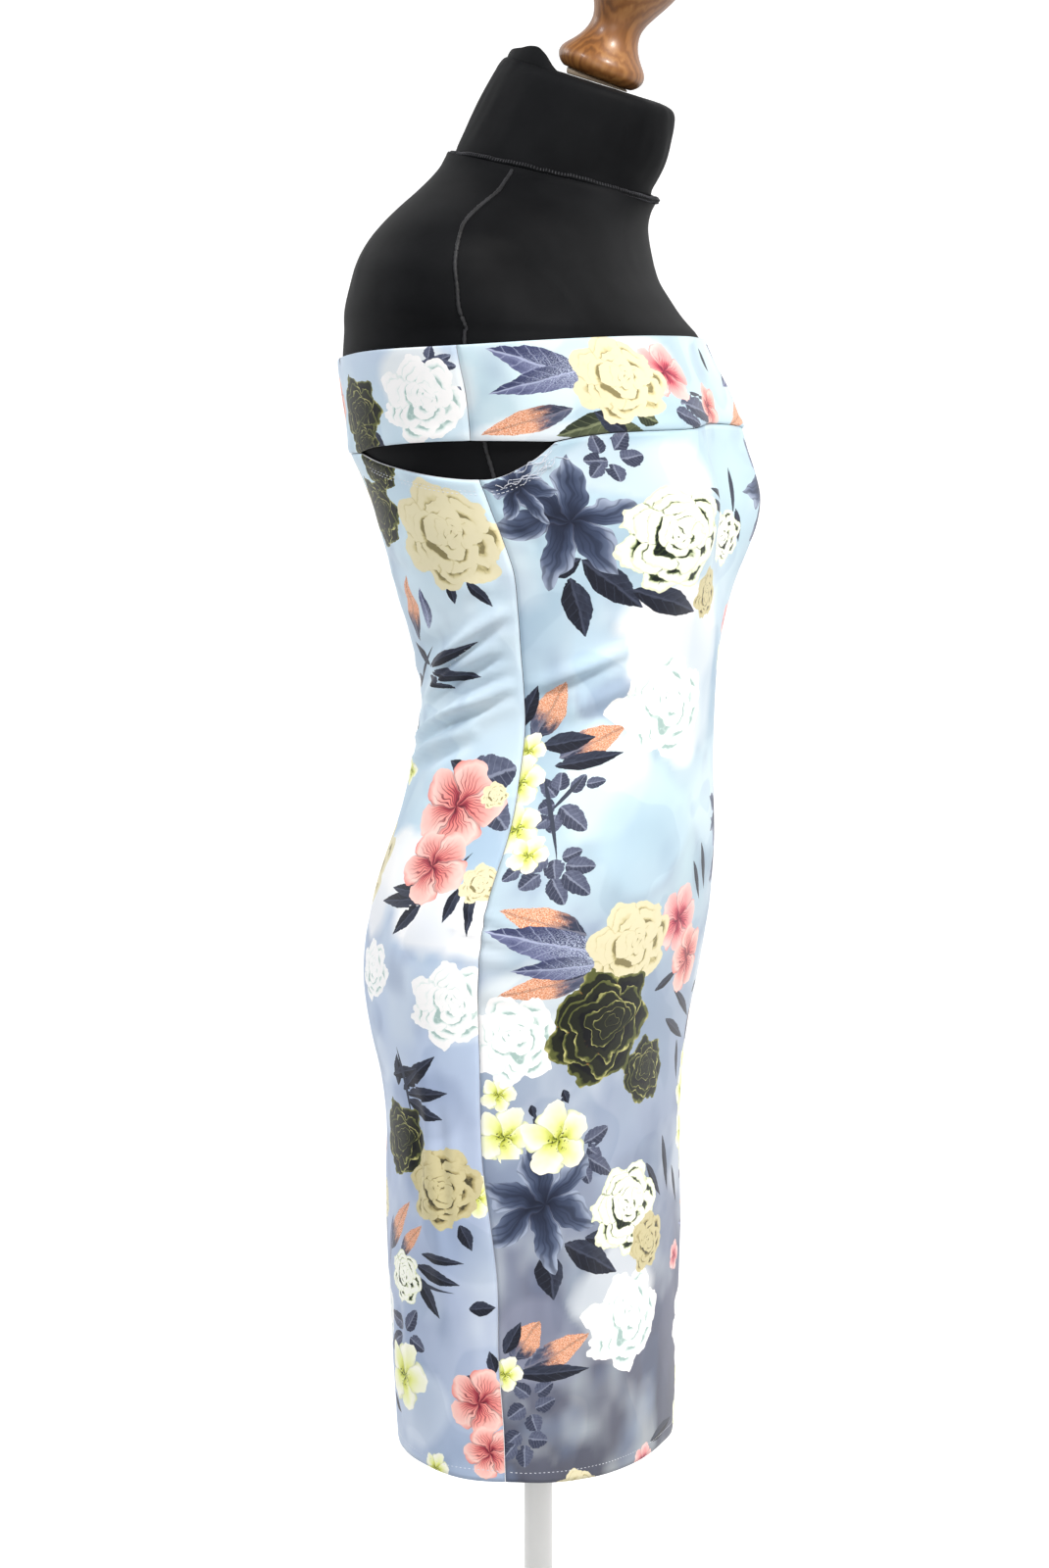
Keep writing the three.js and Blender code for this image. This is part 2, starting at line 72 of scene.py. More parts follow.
# first and last mesh row of a panel, and the levels past which rows are stretched
ROW_LOW, ROW_TOP = 300, 1006
STRETCH_LOW, STRETCH_TOP = 370, 934

# cells of the noise's table; steps of the table of lengths, degrees and millimetres
LATTICE = 64
DEG_STEP, Z_STEP = 2.0, 4.0

# camera: pixels, degrees and metres
IMAGE_HEIGHT = 1600
FOCAL_PIXELS = 4084
VIEW_DEG = 16.0
VIEW_DISTANCE = 2.8
VIEW_HEIGHT = 1.020
VIEW_SHIFT = 0.00988
VIEW_PITCH = 5.177

SECTIONS = np.array([
    # z, half width, front, back, bust, shape
    (300, 145, 91, 92.4, 0, 2.1), (340, 146, 92.4, 94.6, 0, 2.1), (380, 147, 92.9, 96.8, 0, 2.1),
    (420, 148.5, 93.5, 97.8, 0, 2.1), (460, 150, 94.4, 98.9, 0, 2.1),
    (500, 153, 94.9, 99.7, 0, 2.1), (540, 156, 95.3, 99.8, 0, 2.1),
    (570, 159, 96.6, 102.2, 0, 2.15), (600, 162, 100.2, 108.6, 0, 2.2),
    (620, 164, 104.6, 112.6, 0, 2.2), (640, 166, 108.4, 114.3, 0, 2.2),
    (662, 167, 112, 112.8, 0, 2.2), (680, 165, 115, 109.8, 0, 2.2), (700, 159, 117.3, 106, 0, 2.2),
    (720, 151, 119.2, 100.4, 0, 2.2), (740, 142, 120, 93.8, 0, 2.2), (760, 133, 120, 88.6, 0, 2.2),
    (780, 125, 120.2, 84.8, 0, 2.2), (800, 119.5, 120.8, 80.8, 0, 2.2),
    (815, 117.5, 121.4, 78.8, 0, 2.2), (830, 118, 121.8, 78, 0, 2.2),
    (850, 120.5, 122.6, 79.6, 0.5, 2.2), (870, 124, 123.2, 84.6, 3, 2.2),
    (890, 128, 120.8, 89.4, 10, 2.25), (910, 132, 117, 94, 19.5, 2.3),
    (930, 136.5, 113.4, 98.6, 30.5, 2.35), (948, 141, 110.8, 103.2, 38.7, 2.4),
    (966, 145, 108.4, 108.2, 43, 2.4), (984, 150, 106.8, 115.4, 40.4, 2.4),
    (1000, 156, 106.4, 122.6, 35, 2.35), (1020, 163, 109.2, 125.6, 26.5, 2.3),
    (1040, 169.5, 111.4, 128.4, 17, 2.25), (1060, 175.5, 109, 130.4, 8.5, 2.2),
    (1080, 180, 106.4, 130, 2.5, 2.1)])

FORM_TOP = np.array([
    # z, tilt, half width, front, back, shape
    (1080, 0, 176.6, 105.4, 126.6, 2.1), (1094, 0.5, 182, 93.2, 125.6, 2.05),
    (1109, 2, 183, 84.4, 121.4, 2), (1123, 3.5, 181.5, 76.5, 115.5, 2),
    (1135, 5, 176.5, 72.8, 107.5, 2), (1146, 6.5, 165, 71.2, 98, 2), (1156, 8, 147, 71, 88.5, 2),
    (1165, 9.5, 125, 72, 79.6, 2), (1173, 11, 102, 74.5, 72.6, 2), (1180, 12, 83, 77.8, 67.6, 2),
    (1185.5, 13, 69.5, 81, 65, 2), (1189.5, 13, 63, 83, 63.5, 2)])

NECK = np.array([
    # z, tilt, half width, front, back, shape
    (1189.8, 13, 57.6, 78.4, 58.4, 2), (1195, 13.2, 57.4, 79.6, 56.4, 2),
    (1202, 13.8, 57, 83.4, 52.6, 2), (1214, 14.8, 56.2, 88.8, 46.4, 2),
    (1229, 15.8, 55.6, 92.6, 38, 2), (1242, 16.8, 55, 95, 29.8, 2),
    (1249, 17.4, 53.6, 94.8, 25.2, 2), (1252.8, 18, 49.6, 91.2, 20.6, 2),
    (1254, 18, 43, 84.6, 14.4, 2)])

SIDE_SEAM = np.array([
    (300, 79.6), (340, 80.2), (390, 81.6), (440, 81.6), (480, 83.8), (522, 86.4), (560, 86.8),
    (600, 86.2), (650, 87.2), (700, 88.6), (755, 88), (795, 88.8), (855, 89.4), (892, 87.6),
    (918, 86.2), (941, 87), (958, 88), (981, 88.8)])

HEM = np.array([
    (0, 301), (45, 300.4), (70, 302), (85, 304), (105, 304.6), (125, 309), (150, 313), (180, 314)])

# upper edge of the bodice; the arm opening runs from 64 to 135 degrees
BODICE_TOP = np.array([
    (0, 1018.6), (12, 1017.4), (25, 1014.8), (45, 1012.6), (56, 1009.6), (64, 1006.2),
    (67.5, 1000.6), (72, 994.6), (78, 988.4), (84, 983.2), (89, 981), (97, 982), (104, 984),
    (113, 987.4), (122, 991), (129, 994.6), (135, 998.2), (150, 997.8), (180, 997.4)])

BAND_BOTTOM = np.array([
    (0, 1018.9), (12, 1017.7), (25, 1015.1), (45, 1012.9), (56, 1009.9), (64, 1006.6), (78, 1007),
    (89, 1007), (104, 1005.6), (122, 1002.6), (129, 1000.6), (135, 998.5), (150, 998.1),
    (180, 997.7)])

BAND_TOP = np.array([
    (0, 1078.6), (30, 1077.2), (60, 1073.4), (90, 1069.2), (120, 1066.6), (150, 1062.4),
    (180, 1060.4)])

# folds of the worn cloth: from (degrees, level) to (degrees, level), half width, height
FOLDS = [
    (-131, 845, -93, 882, 9, 3), (-140, 830, -112, 843, 7, 2.2), (-146, 796, -93, 834, 8, 3.4),
    (-156, 905, -128, 884, 13, 1.8), (-75, 842, -44, 868, 12, 2.2),
    (-108, 590, -103, 420, 14, 3.6), (-58, 490, -63, 370, 13, 3.2), (128, 843, 95, 876, 9, 2.8),
    (144, 800, 96, 832, 8, 3.2), (152, 900, 126, 880, 13, 1.8), (74, 846, 46, 866, 12, 2),
    (110, 580, 104, 410, 15, 2.2), (56, 470, 60, 370, 15, 2), (176, 560, 170, 400, 18, 1.6)]

# finer creases, same columns; a minus height is a trough
CREASES = [
    (-129, 852, -92, 892, 4, 6.6), (-140, 832, -97, 868, 4.2, 5.6),
    (-150, 802, -94, 843, 4.4, 7.2), (-150, 786, -108, 812, 4.6, 5.4),
    (-116, 842, -94, 856, 3.4, 2.6), (-124, 822, -100, 834, 3.6, 2.6),
    (-140, 872, -112, 886, 5.5, 1.6), (-152, 918, -120, 902, 7.4, 1.6),
    (-144, 936, -118, 926, 7.4, 1.2), (-104, 906, -92, 912, 4.6, 1.4),
    (-98, 699, -80, 686, 3.6, 2.8), (-97, 686, -78, 674, 4.2, 2.4), (-96, 668, -66, 660, 5.5, 1.2),
    (-90, 642, -68, 638, 5.5, 1.1), (-86, 843, -52, 868, 4.6, 5), (-74, 826, -38, 852, 6, 3.2),
    (-60, 884, -30, 892, 7.4, 1.2), (-84, 972, -72, 960, 3.7, 1.4), (-86, 960, -76, 944, 4.1, 1.2),
    (-70, 996, -60, 984, 4.6, 1.2), (-112, 560, -118, 470, 8.3, -2.4),
    (-98, 560, -96, 470, 7.4, 1.9), (-66, 470, -70, 400, 7.4, -1.9),
    (-40, 560, -46, 450, 12.9, 1.6), (-126, 430, -122, 340, 9.2, 1.9),
    (-88, 400, -92, 320, 7.4, 1.6), (130, 850, 94, 886, 4, 4.8), (138, 834, 100, 862, 4.2, 4.2),
    (150, 804, 96, 840, 4.4, 5.2), (142, 874, 114, 888, 5.5, 1.4), (150, 920, 124, 906, 7.4, 1.4),
    (98, 700, 82, 690, 4.1, 1.6), (97, 684, 78, 672, 4.6, 1.2), (80, 852, 56, 866, 4.6, -1.4),
    (64, 830, 36, 850, 6.4, 1.4), (58, 886, 30, 894, 7.4, 1.2), (84, 970, 72, 958, 3.7, 1.2),
    (112, 540, 118, 450, 8.3, -2.3), (96, 550, 97, 460, 7.4, 1.6), (68, 460, 70, 390, 7.4, -1.9),
    (38, 540, 44, 440, 12.9, 1.4), (128, 420, 122, 340, 9.2, 1.6), (160, 800, 200, 806, 4.6, 1.9),
    (166, 822, 206, 826, 5.5, -1.6), (-166, 846, -146, 858, 5.5, 1.4),
    (150, 560, 156, 430, 12.9, 1.9), (-158, 520, -152, 400, 12, 1.9),
    (20, 480, 14, 380, 13.8, 1.4)]

# soft lines of the cover: from, to, half width, height
FORM_CREASES = [
    ((-168, 6, 1143), (-142, -36, 1131), 5, 0.9), ((-156, -18, 1139), (-131, -58, 1097), 5, 1),
    ((-138, -42, 1123), (-132, -68, 1080), 5, 0.9), ((10, -84, 1122), (2, -104, 1092), 5, 0.9),
    ((-20, -72, 1140), (-8, -92, 1112), 6, 0.7), ((-150, 40, 1128), (-168, 60, 1096), 8, -0.8),
    ((-120, 78, 1140), (-140, 104, 1100), 9, 0.7), ((150, 40, 1128), (168, 60, 1096), 8, -0.8),
    ((120, 78, 1140), (140, 104, 1100), 9, 0.7), ((-176, 10, 1104), (-172, 44, 1088), 7, 0.6),
    ((176, 10, 1104), (172, 44, 1088), 7, 0.6)]

# loose edge of the neck cover: degrees from the front centre, height
FLAP_RISE = np.array([
    (-238, 0.6), (-205, 1.6), (-182, 2.6), (-160, 5), (-136, 9.2), (-119, 12.4), (-110, 10),
    (-104, 4), (-99, 0.6)])

# shoulder seam of the cover: degrees, level
SHOULDER_SEAM = [
    (-97, 1187), (-94, 1180), (-90, 1172), (-88, 1161), (-86.5, 1151), (-83.5, 1140), (-82, 1128),
    (-82, 1108), (-84, 1088), (-86, 1066), (-86, 1040), (-85, 1015), (-84.5, 1000), (-85, 982),
    (-86, 965)]

# stand and finial, as in the CAD
FINIAL_TILT = 22.0

FINIAL_FOOT = (0.0, -41.5, 1255.8)

FINIAL_PROFILE = np.array([
    (0, 24.6), (1.2, 26.6), (4, 29.4), (8, 31), (12, 30.4), (15.5, 28.2), (19, 25.2), (24, 21.6),
    (30, 18.8), (37, 17.7), (43, 18.9), (49, 21.6), (55, 24.8), (61, 28), (68, 31.2), (76, 33.6),
    (84, 34.6), (93, 33.8), (101, 31), (109, 26), (115, 19.6), (119.5, 12), (121.5, 5.4),
    (122, 1.2)])

# pole, collars and base where the CAD has them, with eased edges: height, radius
STAND = {
    "base_plate": [(0.0, 162.5), (0.7, 164.3), (2.0, 165.0), (5.4, 165.0), (7.0, 164.0),
                   (7.8, 161.5), (8.0, 157.0)],
    "foot_collar": [(8.3, 22.0), (11.3, 22.0), (12.7, 21.0), (13.7, 17.8), (15.8, 15.9),
                    (26.3, 15.2), (29.3, 14.4), (30.3, 13.0)],
    "pole": [(30.6, 10.0), (32.3, 10.0), (300.0, 10.0), (544.0, 10.0), (546.1, 10.0)],
    "top_collar": [(546.4, 13.0), (547.6, 14.4), (572.4, 15.0), (574.2, 16.4), (575.2, 20.0),
                   (575.8, 28.4), (576.8, 29.8), (579.4, 30.0), (580.4, 29.4)]}

# numbers of the print's motif kinds
ROSES = {"cream": 1, "tan": 2, "peony": 3, "mint": 4, "green": 5}

BLOOMS = {"coral": 1, "pink": 2, "lime": 3, "lily": 4}

LEAVES = {"slate": 1, "dark": 2, "coral": 3, "navy": 4, "green": 5, "stem": 6}

SLOTS = {"leaf": 3, "bloom": 2, "rose": 2}

# what a face of the print may carry, one look for each; the reverse comes after them
LOOKS = [(), ("leaf",), ("bloom",), ("leaf", "bloom"), ("rose",), ("leaf", "rose"),
         ("bloom", "rose"), ("leaf", "bloom", "rose")]

FLOWER_SCALE = {"cream": 1.22, "tan": 1.2, "peony": 1.2, "mint": 1.3, "green": 1.2,
                "coral": 1.22, "pink": 1.2, "lime": 1.35, "lily": 1.22}

# how much wider than tall a flower is, by degrees from the front centre
ACROSS = ((0, 30, 60, 82, 100, 125, 160, 180), (1.3, 1.3, 1.08, 1.0, 1.0, 1.2, 1.3, 1.3))

# place of a corner that no motif covers
FAR = (9.0, 9.0, 0.0)

# the print: flowers are (kind, degrees, level, radius, turn), leaves are (kind,
# degrees and level of the base, degrees and level of the tip, width)
BODY_FRONT_FLOWERS = [
    ("lily", -68, 955, 40, 10), ("lily", -79, 976, 22, 60), ("green", -38, 942, 32, 0),
    ("green", 2, 940, 17, 80), ("tan", -11, 903, 16, 0), ("mint", -31, 828, 29, 30),
    ("lime", -87, 800, 9, 0), ("lime", -88, 779, 13, 20), ("lime", -86, 749, 13, 40),
    ("lime", -80, 732, 10, 0), ("pink", 20, 882, 11, 0), ("cream", -35, 668, 28, 20),
    ("pink", -13, 680, 20, 0), ("coral", -3, 650, 20, 30), ("peony", -42, 616, 34, 0),
    ("peony", -20, 577, 20, 50), ("mint", -75, 609, 25, 60), ("lime", -78, 543, 15, 0),
    ("lime", -58, 540, 18, 30), ("lime", -80, 572, 9, 0), ("lily", -65, 495, 37, 40),
    ("green", -28, 483, 28, 20), ("tan", -16, 454, 17, 40), ("pink", 7, 432, 9, 0),
    ("mint", -27, 405, 28, 10), ("lime", -79, 379, 9, 0), ("cream", -50, 291, 15, 0),
    ("pink", -16, 299, 10, 0)]

BODY_FRONT_LEAVES = [
    ("slate", -51, 999, -52, 1011, 8), ("slate", -47, 1001, -43, 1013, 8),
    ("slate", -50, 994, -56, 994, 8), ("slate", -46, 995, -41, 998, 9),
    ("slate", -49, 992, -49, 980, 9), ("slate", -52, 992, -56, 983, 6),
    ("dark", -70, 915, -67, 878, 16), ("dark", -65, 927, -48, 897, 18),
    ("dark", -50, 907, -22, 892, 15), ("dark", -76, 919, -66, 929, 11),
    ("stem", 6, 987, 6, 956, 4), ("dark", -30, 969, -6, 955, 5), ("dark", -23, 975, -3, 962, 5),
    ("dark", 7, 959, 11, 937, 6), ("stem", -52, 936, -36, 935, 3),
    ("coral", -86, 809, -75, 845, 17), ("dark", -91, 815, -85, 843, 9),
    ("coral", -75, 796, -52, 815, 17), ("dark", -82, 803, -64, 809, 11),
    ("dark", -76, 790, -52, 798, 9), ("dark", -96, 850, -90, 857, 5),
    ("slate", -75, 770, -81, 781, 7), ("slate", -74, 774, -74, 786, 8),
    ("slate", -69, 773, -65, 784, 6), ("slate", -64, 778, -57, 780, 5),
    ("slate", -75, 765, -80, 761, 8), ("slate", -72, 763, -62, 748, 10),
    ("slate", -74, 759, -74, 746, 9), ("slate", -76, 756, -80, 750, 7),
    ("slate", -74, 731, -79, 721, 9), ("slate", -71, 729, -69, 715, 9),
    ("slate", -68, 730, -62, 735, 7), ("slate", -66, 725, -56, 724, 9),
    ("slate", -66, 720, -56, 706, 9), ("slate", -70, 717, -64, 700, 9),
    ("slate", -75, 720, -80, 710, 10), ("slate", -81, 725, -86, 715, 7),
    ("stem", -80, 785, -70, 727, 2), ("stem", -66, 783, -76, 759, 2),
    ("coral", -55, 679, -83, 696, 17), ("navy", -50, 667, -86, 682, 18),
    ("coral", -50, 651, -79, 640, 15), ("navy", -48, 658, -76, 656, 12),
    ("dark", -2, 728, 3, 696, 6), ("dark", -7, 717, 0, 690, 5), ("dark", -8, 628, 11, 601, 5),
    ("dark", -9, 608, 7, 588, 6), ("dark", 2, 587, 6, 559, 6), ("dark", -20, 633, -9, 643, 5),
    ("stem", -67, 561, -66, 542, 2), ("stem", -56, 569, -59, 548, 2),
    ("dark", -56, 573, -54, 564, 5), ("dark", -68, 564, -67, 556, 4),
    ("slate", -47, 535, -38, 543, 8), ("slate", -46, 531, -41, 523, 7),
    ("slate", -49, 526, -54, 516, 8), ("slate", -46, 524, -36, 511, 8),
    ("slate", -50, 529, -57, 527, 7), ("slate", -48, 519, -46, 507, 7),
    ("dark", -63, 461, -61, 431, 15), ("dark", -55, 466, -34, 442, 16),
    ("dark", -47, 469, -33, 465, 9), ("dark", -6, 523, -2, 485, 7), ("dark", -17, 509, -8, 484, 6),
    ("dark", 2, 498, 8, 470, 5), ("coral", -76, 390, -66, 414, 16),
    ("coral", -70, 384, -46, 401, 16), ("dark", -74, 379, -46, 378, 9),
    ("dark", -79, 394, -73, 414, 8), ("slate", -70, 364, -76, 372, 7),
    ("slate", -67, 365, -61, 372, 7), ("slate", -72, 356, -78, 349, 8),
    ("slate", -67, 355, -60, 360, 7), ("slate", -69, 350, -67, 338, 8),
    ("slate", -74, 338, -80, 329, 8), ("slate", -70, 334, -63, 332, 8),
    ("slate", -72, 329, -72, 315, 8), ("slate", -76, 330, -81, 319, 7),
    ("dark", -10, 310, 7, 315, 7)]

BODY_BACK_FLOWERS = [
    ("peony", -138, 960, 21, 0), ("peony", -126, 990, 15, 0), ("cream", -103, 944, 33, 0),
    ("coral", -109, 763, 27, 0), ("coral", -112, 723, 22, 50), ("cream", -92, 713, 12, 0),
    ("lime", -150, 780, 8, 0), ("mint", -95, 632, 24, 0), ("mint", -134, 648, 17, 0),
    ("peony", -126, 535, 22, 0), ("tan", -103, 504, 25, 20), ("lime", -89, 501, 11, 0),
    ("green", -127, 437, 16, 0), ("lime", -129, 367, 18, 0), ("coral", -89, 360, 19, 0),
    ("coral", -86, 325, 15, 40), ("lime", -110, 309, 8, 0), ("cream", -95, 770, 8, 0)]

BODY_BACK_LEAVES = [
    ("dark", -108, 911, -108, 898, 6), ("dark", -100, 913, -94, 897, 7),
    ("coral", -136, 872, -132, 915, 13), ("navy", -125, 881, -124, 908, 8),
    ("dark", -132, 854, -104, 872, 6), ("dark", -129, 850, -105, 849, 7),
    ("dark", -134, 855, -144, 869, 6), ("dark", -134, 847, -119, 840, 5),
    ("stem", -150, 838, -129, 867, 2), ("dark", -158, 818, -158, 796, 6),
    ("slate", -105, 777, -90, 788, 22), ("slate", -100, 773, -89, 748, 15),
    ("dark", -107, 783, -117, 791, 8), ("dark", -94, 714, -92, 679, 6),
    ("dark", -98, 710, -101, 687, 7), ("dark", -109, 702, -134, 695, 9),
    ("dark", -112, 698, -122, 676, 9), ("dark", -112, 705, -129, 705, 7),
    ("stem", -98, 733, -111, 696, 2), ("dark", -104, 726, -101, 739, 5),
    ("dark", -120, 570, -102, 595, 9), ("dark", -118, 567, -99, 571, 8),
    ("dark", -124, 572, -121, 593, 7), ("dark", -118, 562, -102, 553, 9),
    ("dark", -126, 578, -111, 586, 6), ("stem", -120, 597, -118, 551, 2),
    ("coral", -140, 452, -122, 489, 12), ("coral", -129, 451, -115, 475, 9),
    ("navy", -147, 436, -136, 476, 7), ("dark", -117, 447, -97, 439, 8),
    ("dark", -117, 439, -106, 415, 9), ("dark", -95, 480, -91, 464, 8),
    ("dark", -92, 423, -83, 425, 8), ("dark", -114, 456, -95, 454, 5),
    ("stem", -129, 437, -100, 433, 2), ("slate", -128, 402, -140, 406, 7),
    ("slate", -124, 401, -119, 415, 7), ("slate", -131, 394, -143, 380, 7),
    ("slate", -122, 395, -115, 389, 7), ("dark", -144, 347, -135, 338, 5),
    ("dark", -96, 371, -86, 376, 7), ("dark", -83, 380, -85, 394, 6)]

BAND_FRONT_FLOWERS = [
    ("cream", -41, 1048, 26, 0), ("pink", -25, 1053, 18, 0), ("coral", -1, 1030, 14, 30)]

BAND_FRONT_LEAVES = [
    ("navy", -50, 1046, -78, 1067, 20), ("navy", -49, 1056, -80, 1038, 13),
    ("coral", -58, 1028, -84, 1012, 13), ("green", -54, 1019, -37, 1010, 15),
    ("green", -42, 1024, -61, 1011, 13), ("green", -39, 1026, -35, 1019, 11),
    ("slate", -23, 1032, -1, 1023, 12), ("slate", -28, 1027, -20, 1017, 9),
    ("dark", 4, 1070, 6, 1054, 5), ("dark", -43, 1013, -50, 1026, 11),
    ("stem", -20, 1040, 0, 1034, 2)]

BAND_BACK_FLOWERS = [
    ("mint", -100, 1034, 25, 0), ("peony", -130, 1027, 21, 0), ("peony", -128, 1006, 13, 0)]

BAND_BACK_LEAVES = [
    ("slate", -101, 1050, -90, 1063, 7), ("slate", -96, 1061, -95, 1069, 5),
    ("slate", -94, 1032, -89, 1042, 7), ("slate", -94, 1057, -89, 1056, 5),
    ("dark", -121, 1013, -116, 999, 6)]

# light and dark patches of the ground: degrees, level, half angle, half height, colour, weight
PATCHES_FRONT = [
    (-38, 874, 22, 34, "ffffff", 1), (-18, 872, 22, 44, "ffffff", 1),
    (-22, 826, 17, 36, "fdffff", 1), (-64, 842, 9, 19, "9fb0c8", 0.8),
    (-46, 985, 22, 20, "e9f6fb", 0.8), (-62, 860, 12, 30, "c2daea", 0.8),
    (-52, 838, 16, 16, "a3b5cc", 0.8), (-56, 780, 18, 40, "e8f8fb", 0.9),
    (-36, 745, 22, 40, "cfe8f3", 0.7), (-70, 628, 24, 30, "e4ecef", 0.8),
    (-31, 428, 20, 27, "eceef0", 1), (-6, 860, 12, 60, "f4fafc", 0.7),
    (40, 640, 30, 40, "eef5f7", 0.8), (62, 880, 24, 40, "f6fbfc", 0.9),
    (20, 500, 22, 30, "dfe5ec", 0.6), (50, 430, 20, 40, "8f94ac", 0.6),
    (-66, 400, 20, 30, "9499ae", 0.6), (10, 760, 24, 40, "d8ebf4", 0.7)]

PATCHES_BACK = [
    (-104, 690, 22, 24, "ffffff", 1), (-130, 720, 18, 24, "fbfdfd", 0.9),
    (-146, 700, 16, 30, "ffffff", 0.8), (-150, 860, 16, 30, "c3d6e6", 0.6),
    (-110, 560, 20, 22, "9cabc8", 0.6), (-118, 345, 16, 26, "dce6f4", 0.8),
    (-120, 425, 16, 20, "c3d0e4", 0.6), (176, 800, 24, 40, "eaf3f7", 0.8),
    (140, 640, 24, 34, "ffffff", 0.9), (120, 430, 20, 40, "d5dae5", 0.6),
    (160, 520, 20, 30, "f3f6f8", 0.7), (112, 900, 18, 30, "f2f8fa", 0.7)]

PATCHES_BAND = [
    (-64, 1042, 10, 20, "dff3f9", 0.9), (-70, 1014, 20, 10, "f6fafb", 0.9),
    (-100, 1046, 14, 24, "f2f7f8", 0.9), (-30, 1066, 14, 8, "f2f6f8", 0.7),
    (60, 1040, 20, 20, "e6f3f8", 0.8), (140, 1030, 24, 24, "e8f1f5", 0.8),
    (-165, 1040, 20, 24, "dfe9f1", 0.7)]

# ground colour by level, front then back
GROUND_LEVELS = (300, 420, 540, 640, 760, 860, 1000, 1080)

GROUND_FRONT = ("5a5c69", "73778a", "a0acc2", "a8b7ca", "c8dfe7", "b8cfdf", "c6dfe9", "d0e6ee")

GROUND_BACK = ("bccbe2", "b0bdd6", "b9c8e2", "c6d6ec", "c2dae9", "d8eaf4", "cee4f0", "c6d6e8")


# surface
def curve(table, column, keys):
    """Smooth value between the rows of a table whose first column is the key."""
    keys = np.asarray(keys, float)
    x, y = table[:, 0], table[:, column]
    last = len(x) - 1
    after, before = np.minimum(np.arange(len(x)) + 1, last), np.maximum(np.arange(len(x)) - 1, 0)
    slope = (y[after] - y[before]) / (x[after] - x[before])
    i = np.clip(np.searchsorted(x, keys, "right") - 1, 0, last - 1)
    h = x[i + 1] - x[i]
    t = np.clip((keys - x[i]) / h, 0, 1)
    t2, t3 = t * t, t * t * t
    return (y[i] * (2 * t3 - 3 * t2 + 1) + y[i + 1] * (3 * t2 - 2 * t3)
            + h * (slope[i] * (t3 - 2 * t2 + t) + slope[i + 1] * (t3 - t2)))


def edge(table, keys):
    """As curve, but with corners at both ends of the arm opening."""
    keys = np.asarray(keys, float)
    out = np.zeros(keys.shape)
    for low, high in ((0, ARM_FRONT), (ARM_FRONT, ARM_BACK), (ARM_BACK, 180)):
        part = table[(table[:, 0] >= low) & (table[:, 0] <= high)]
        inside = (keys >= low) & (keys <= high)
        out[inside] = curve(part, 1, keys[inside])
    return out


def oval(deg, half_width, front, back, shape):
    s, c = np.sin(np.radians(deg)), np.cos(np.radians(deg))
    p = 2 / shape
    x = half_width * np.sign(s) * np.abs(s) ** p
    y = (back - front) / 2 - (back + front) / 2 * np.sign(c) * np.abs(c) ** p
    return x, y


def cloth(deg, z):
    """Places on the smooth surface under the folds."""
    deg, z = np.broadcast_arrays(np.asarray(deg, float), np.asarray(z, float))
    deg = (deg + 180) % 360 - 180
    half_width, front, back, bust, shape = [curve(SECTIONS, i, z) for i in range(1, 6)]
    x, y = oval(deg, half_width, front, back, shape)
    c = np.cos(np.radians(deg))
    across = np.abs(x)
    inner = np.minimum(1, across / BUST_ACROSS)
    bridge = 0.5 + 0.5 * inner ** 2 * (3 - 2 * inner)
    outer = np.exp(-((across - BUST_ACROSS) / BUST_SPREAD) ** 2)
    y = y - np.where(c > 0, bust * np.where(across < BUST_ACROSS, bridge, outer)
                     * np.clip(c / 0.35, 0, 1), 0)
    return np.stack([x, y, z], -1)


def unit(v):
    return v / np.linalg.norm(v, axis=-1, keepdims=True)


def cloth_normal(deg, z):
    around = cloth(np.asarray(deg) + 0.5, z) - cloth(np.asarray(deg) - 0.5, z)
    up = cloth(deg, np.asarray(z) + 1) - cloth(deg, np.asarray(z) - 1)
    return unit(np.cross(around, up))


def ridges(rows, deg, z, hollow):
    """Summed height of ridge lines at places on the cloth, each with a hollow below."""
    deg = (np.asarray(deg, float) + 180) % 360 - 180
    radius = curve(SECTIONS, 1, z)
    total = np.zeros(np.broadcast(deg, z).shape)
    for deg_a, z_a, deg_b, z_b, wide, high in rows:
        middle = (deg_a + deg_b) / 2
        local = middle + (deg - middle + 180) % 360 - 180
        dx = np.radians(deg_b - deg_a) * radius
        px = np.radians(local - deg_a) * radius
        dz = z_b - z_a
        length = np.hypot(dx, dz)
        t = (px * dx + (z - z_a) * dz) / length ** 2
        off = (px * dz - (z - z_a) * dx) / length
        end = np.maximum(0, np.maximum(-t, t - 1)) * length / wide
        fade = np.sin(np.pi * np.clip(0.12 + 0.76 * t, 0, 1))
        below = np.sign(dx) * off / wide
        total += high * fade * np.exp(-end ** 2) * (
            np.exp(-below ** 2) - hollow * np.exp(-((below - 1.7) / 0.8) ** 2))
    return total


def soft_noise(x, y, seed, octaves):
    """Seeded smooth noise, about 0 to 1, over a plane."""
    total, weight, gain = 0.0, 0.0, 1.0
    for octave in range(octaves):
        table = np.random.default_rng(seed + 31 * octave).random((LATTICE, LATTICE))
        fx, fy = x * 2 ** octave, y * 2 ** octave
        ix, iy = np.floor(fx).astype(int), np.floor(fy).astype(int)
        tx, ty = fx - ix, fy - iy
        tx, ty = tx * tx * (3 - 2 * tx), ty * ty * (3 - 2 * ty)
        next_x, next_y = (ix + 1) % LATTICE, (iy + 1) % LATTICE
        ix, iy = ix % LATTICE, iy % LATTICE
        total = total + gain * (
            (table[ix, iy] * (1 - tx) + table[next_x, iy] * tx) * (1 - ty)
            + (table[ix, next_y] * (1 - tx) + table[next_x, next_y] * tx) * ty)
        weight += gain
        gain *= 0.5
    return total / weight


